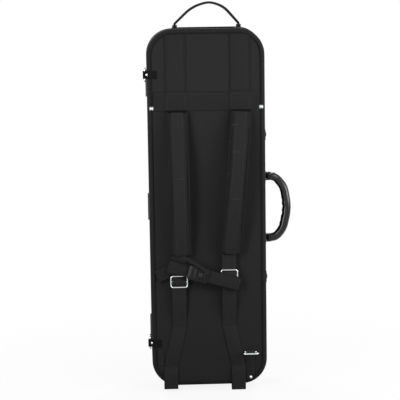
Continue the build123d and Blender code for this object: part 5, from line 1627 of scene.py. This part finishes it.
def add_lamp(name: str, place: Vector, aim: Vector, size: Pair, power: float) -> None:
    """Add a soft box.

    Args:
        name: The lamp's name.
        place: Where it stands.
        aim: The point that it lights.
        size: Its width and height.
        power: Its power in watts.
    """
    data = bpy.data.lights.new(name, "AREA")
    data.shape, data.energy = "RECTANGLE", power
    data.size, data.size_y = size
    lamp = bpy.data.objects.new(name, data)
    bpy.context.scene.collection.objects.link(lamp)
    lamp.location = place
    lamp.rotation_euler = (aim - place).to_track_quat("-Z", "Y").to_euler()


@dataclass
class Studio:
    """Camera, lights and floor."""

    space: CaseSpace
    azimuth: float = -2.44
    elevation: float = 8.39
    roll: float = -0.86
    distance: float = 3.0
    focal_pixels: float = 1345.7
    photo_pixels: float = 400.0
    sensor: float = 36.0
    target: Triple = (-0.0411, 0.0, 0.4244)
    grip: Triple = (170.0, -42.0, 409.0)
    left_aim: Triple = (-0.077, -0.055, 0.5)
    right_aim: Triple = (0.023, -0.055, 0.5)
    lid_aim: Triple = (-0.03, 0.0, 0.4)

    def camera(self) -> None:
        """Place the camera at the photograph's viewing angle."""
        data = bpy.data.cameras.new("camera")
        camera = bpy.data.objects.new("camera", data)
        bpy.context.scene.collection.objects.link(camera)
        around, up, roll = (math.radians(angle) for angle in (self.azimuth, self.elevation, self.roll))
        forward = Vector((-math.sin(around) * math.cos(up), math.cos(around) * math.cos(up), -math.sin(up)))
        right = forward.cross(Z_AXIS).normalized()
        above = right.cross(forward)
        right, above = right * math.cos(roll) + above * math.sin(roll), above * math.cos(roll) - right * math.sin(roll)
        turn = Matrix((right, above, -forward)).transposed().to_4x4()
        camera.matrix_world = Matrix.Translation(Vector(self.target) - forward * self.distance) @ turn
        data.sensor_width = self.sensor
        data.lens = self.focal_pixels / self.photo_pixels * self.sensor
        data.clip_end = 50
        bpy.context.scene.camera = camera

    def lamps(self) -> None:
        """Add the soft boxes."""
        near, rear = (0.25, 0.4), (0.6, 0.8)
        grip = self.space.at(*self.grip)
        boxes = (
            # Boxes near the panel, one on each side, so that each strap shades the panel on its inner side
            ("left_box", (-0.5, -0.8, 0.95), self.left_aim, near, 2.5),
            ("right_box", (0.44, -0.8, 0.95), self.right_aim, near, 1.9),
            ("left_low_box", (-0.5, -0.35, 0.9), self.left_aim, near, 0.4),
            ("right_low_box", (0.44, -0.35, 0.9), self.right_aim, near, 0.5),
            # A box on each side, level with the glazed grip, draws the long highlights down it
            ("right_side_box", grip + Vector((1.0, -0.62, 0.14)), grip, (0.8, 0.5), 9.0),
            ("left_side_box", grip + Vector((-0.78, -0.78, 0.06)), grip, (0.3, 0.5), 3.0),
            # Two larger boxes light the lid's side and the open case
            ("left_rear_box", (-0.9, 1.1, 1.3), self.lid_aim, rear, 12.0),
            ("right_rear_box", (0.8, 1.2, 1.1), self.lid_aim, rear, 12.0),
        )
        for name, place, aim, size, power in boxes:
            add_lamp(name, Vector(place), Vector(aim), size, power)

    def world(self) -> None:
        """Light the scene evenly, and show white to the camera and in reflections."""
        world = bpy.data.worlds.new("studio")
        bpy.context.scene.world = world
        wires = Wiring.blank(world)
        path = wires.add("LightPath").outputs
        seen = wires.calc("MAXIMUM", path["Is Camera Ray"], path["Is Transmission Ray"])
        strength = wires.span(wires.calc("MAXIMUM", seen, path["Is Glossy Ray"]), low=0.1)
        light = wires.add("Background", {"Color": (1, 1, 1, 1), "Strength": strength})
        wires.add("OutputWorld", {0: light.outputs[0]})

    def floor(self) -> None:
        """Add a pale floor that keeps the shadow near the case and fades to white away from it."""
        floor = Bench.add(bpy.ops.mesh.primitive_plane_add, size=40)
        floor.name = "studio_floor"
        material = bpy.data.materials.new("pale_floor")
        wires = Wiring.blank(material)
        reach = wires.add("VectorMath", {0: wires.place()}, operation="LENGTH").outputs["Value"]
        fade = wires.span(reach, start=0.25, end=0.9, low=0.88)
        path = wires.add("LightPath").outputs
        plain = wires.calc("MAXIMUM", path["Is Camera Ray"], path["Is Glossy Ray"])
        # Bounced light meets a floor that swallows most of it, so that it doesn't brighten the case from below
        dull = wires.calc("MULTIPLY", wires.calc("SUBTRACT", 1.0, plain), 0.8)
        share = wires.calc("ADD", wires.calc("MULTIPLY", fade, plain), dull)
        paint = wires.add("BsdfDiffuse", {"Color": (0.9, 0.9, 0.9, 1)})
        glow = wires.add("Emission", {"Color": (1, 1, 1, 1), "Strength": plain})
        mix = wires.add("MixShader", {0: share, 1: paint.outputs[0], 2: glow.outputs[0]})
        wires.add("OutputMaterial", {"Surface": mix.outputs[0]})
        floor.data.materials.append(material)

    def build(self) -> None:
        """Build the studio."""
        bpy.context.scene.view_settings.view_transform = "Standard"
        self.camera()
        self.world()
        self.lamps()
        self.floor()


# Bar tacks of the padded straps: left end, right end and height
LEFT_TACKS = ((-69.0, -52.0, 483.5),)
RIGHT_TACKS = (
    (53.0, 71.0, 598.0), (46.0, 53.0, 562.6), (55.0, 70.0, 540.7), (43.0, 50.0, 493.0), (51.5, 69.0, 438.0),
)


def main() -> None:
    """Load the frame and build every sub-assembly."""
    logging.basicConfig(level=logging.INFO, format="%(name)s: %(message)s")
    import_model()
    space = CaseSpace.from_frame()
    for assembly in (
        Fittings(),
        Cloth(),
        Yoke(space),
        ShoulderStrap(space, "left_shoulder_strap", -64.0, -60.5, LEFT_TACKS),
        ShoulderStrap(space, "right_shoulder_strap", 75.5, 47.5, RIGHT_TACKS),
        LowerWebbing(space, "left_webbing", -66.0, -87.0, 7.0),
        LowerWebbing(space, "right_webbing", 44.6, 64.0, 2.2),
        WaistBelt(space),
        SlideBuckles(),
        Tabs(space),
        Handles(space),
        Lining(),
        Studio(space),
    ):
        assembly.build()
        LOG.info("%s built", type(assembly).__name__)


if __name__ == "__main__":
    main()
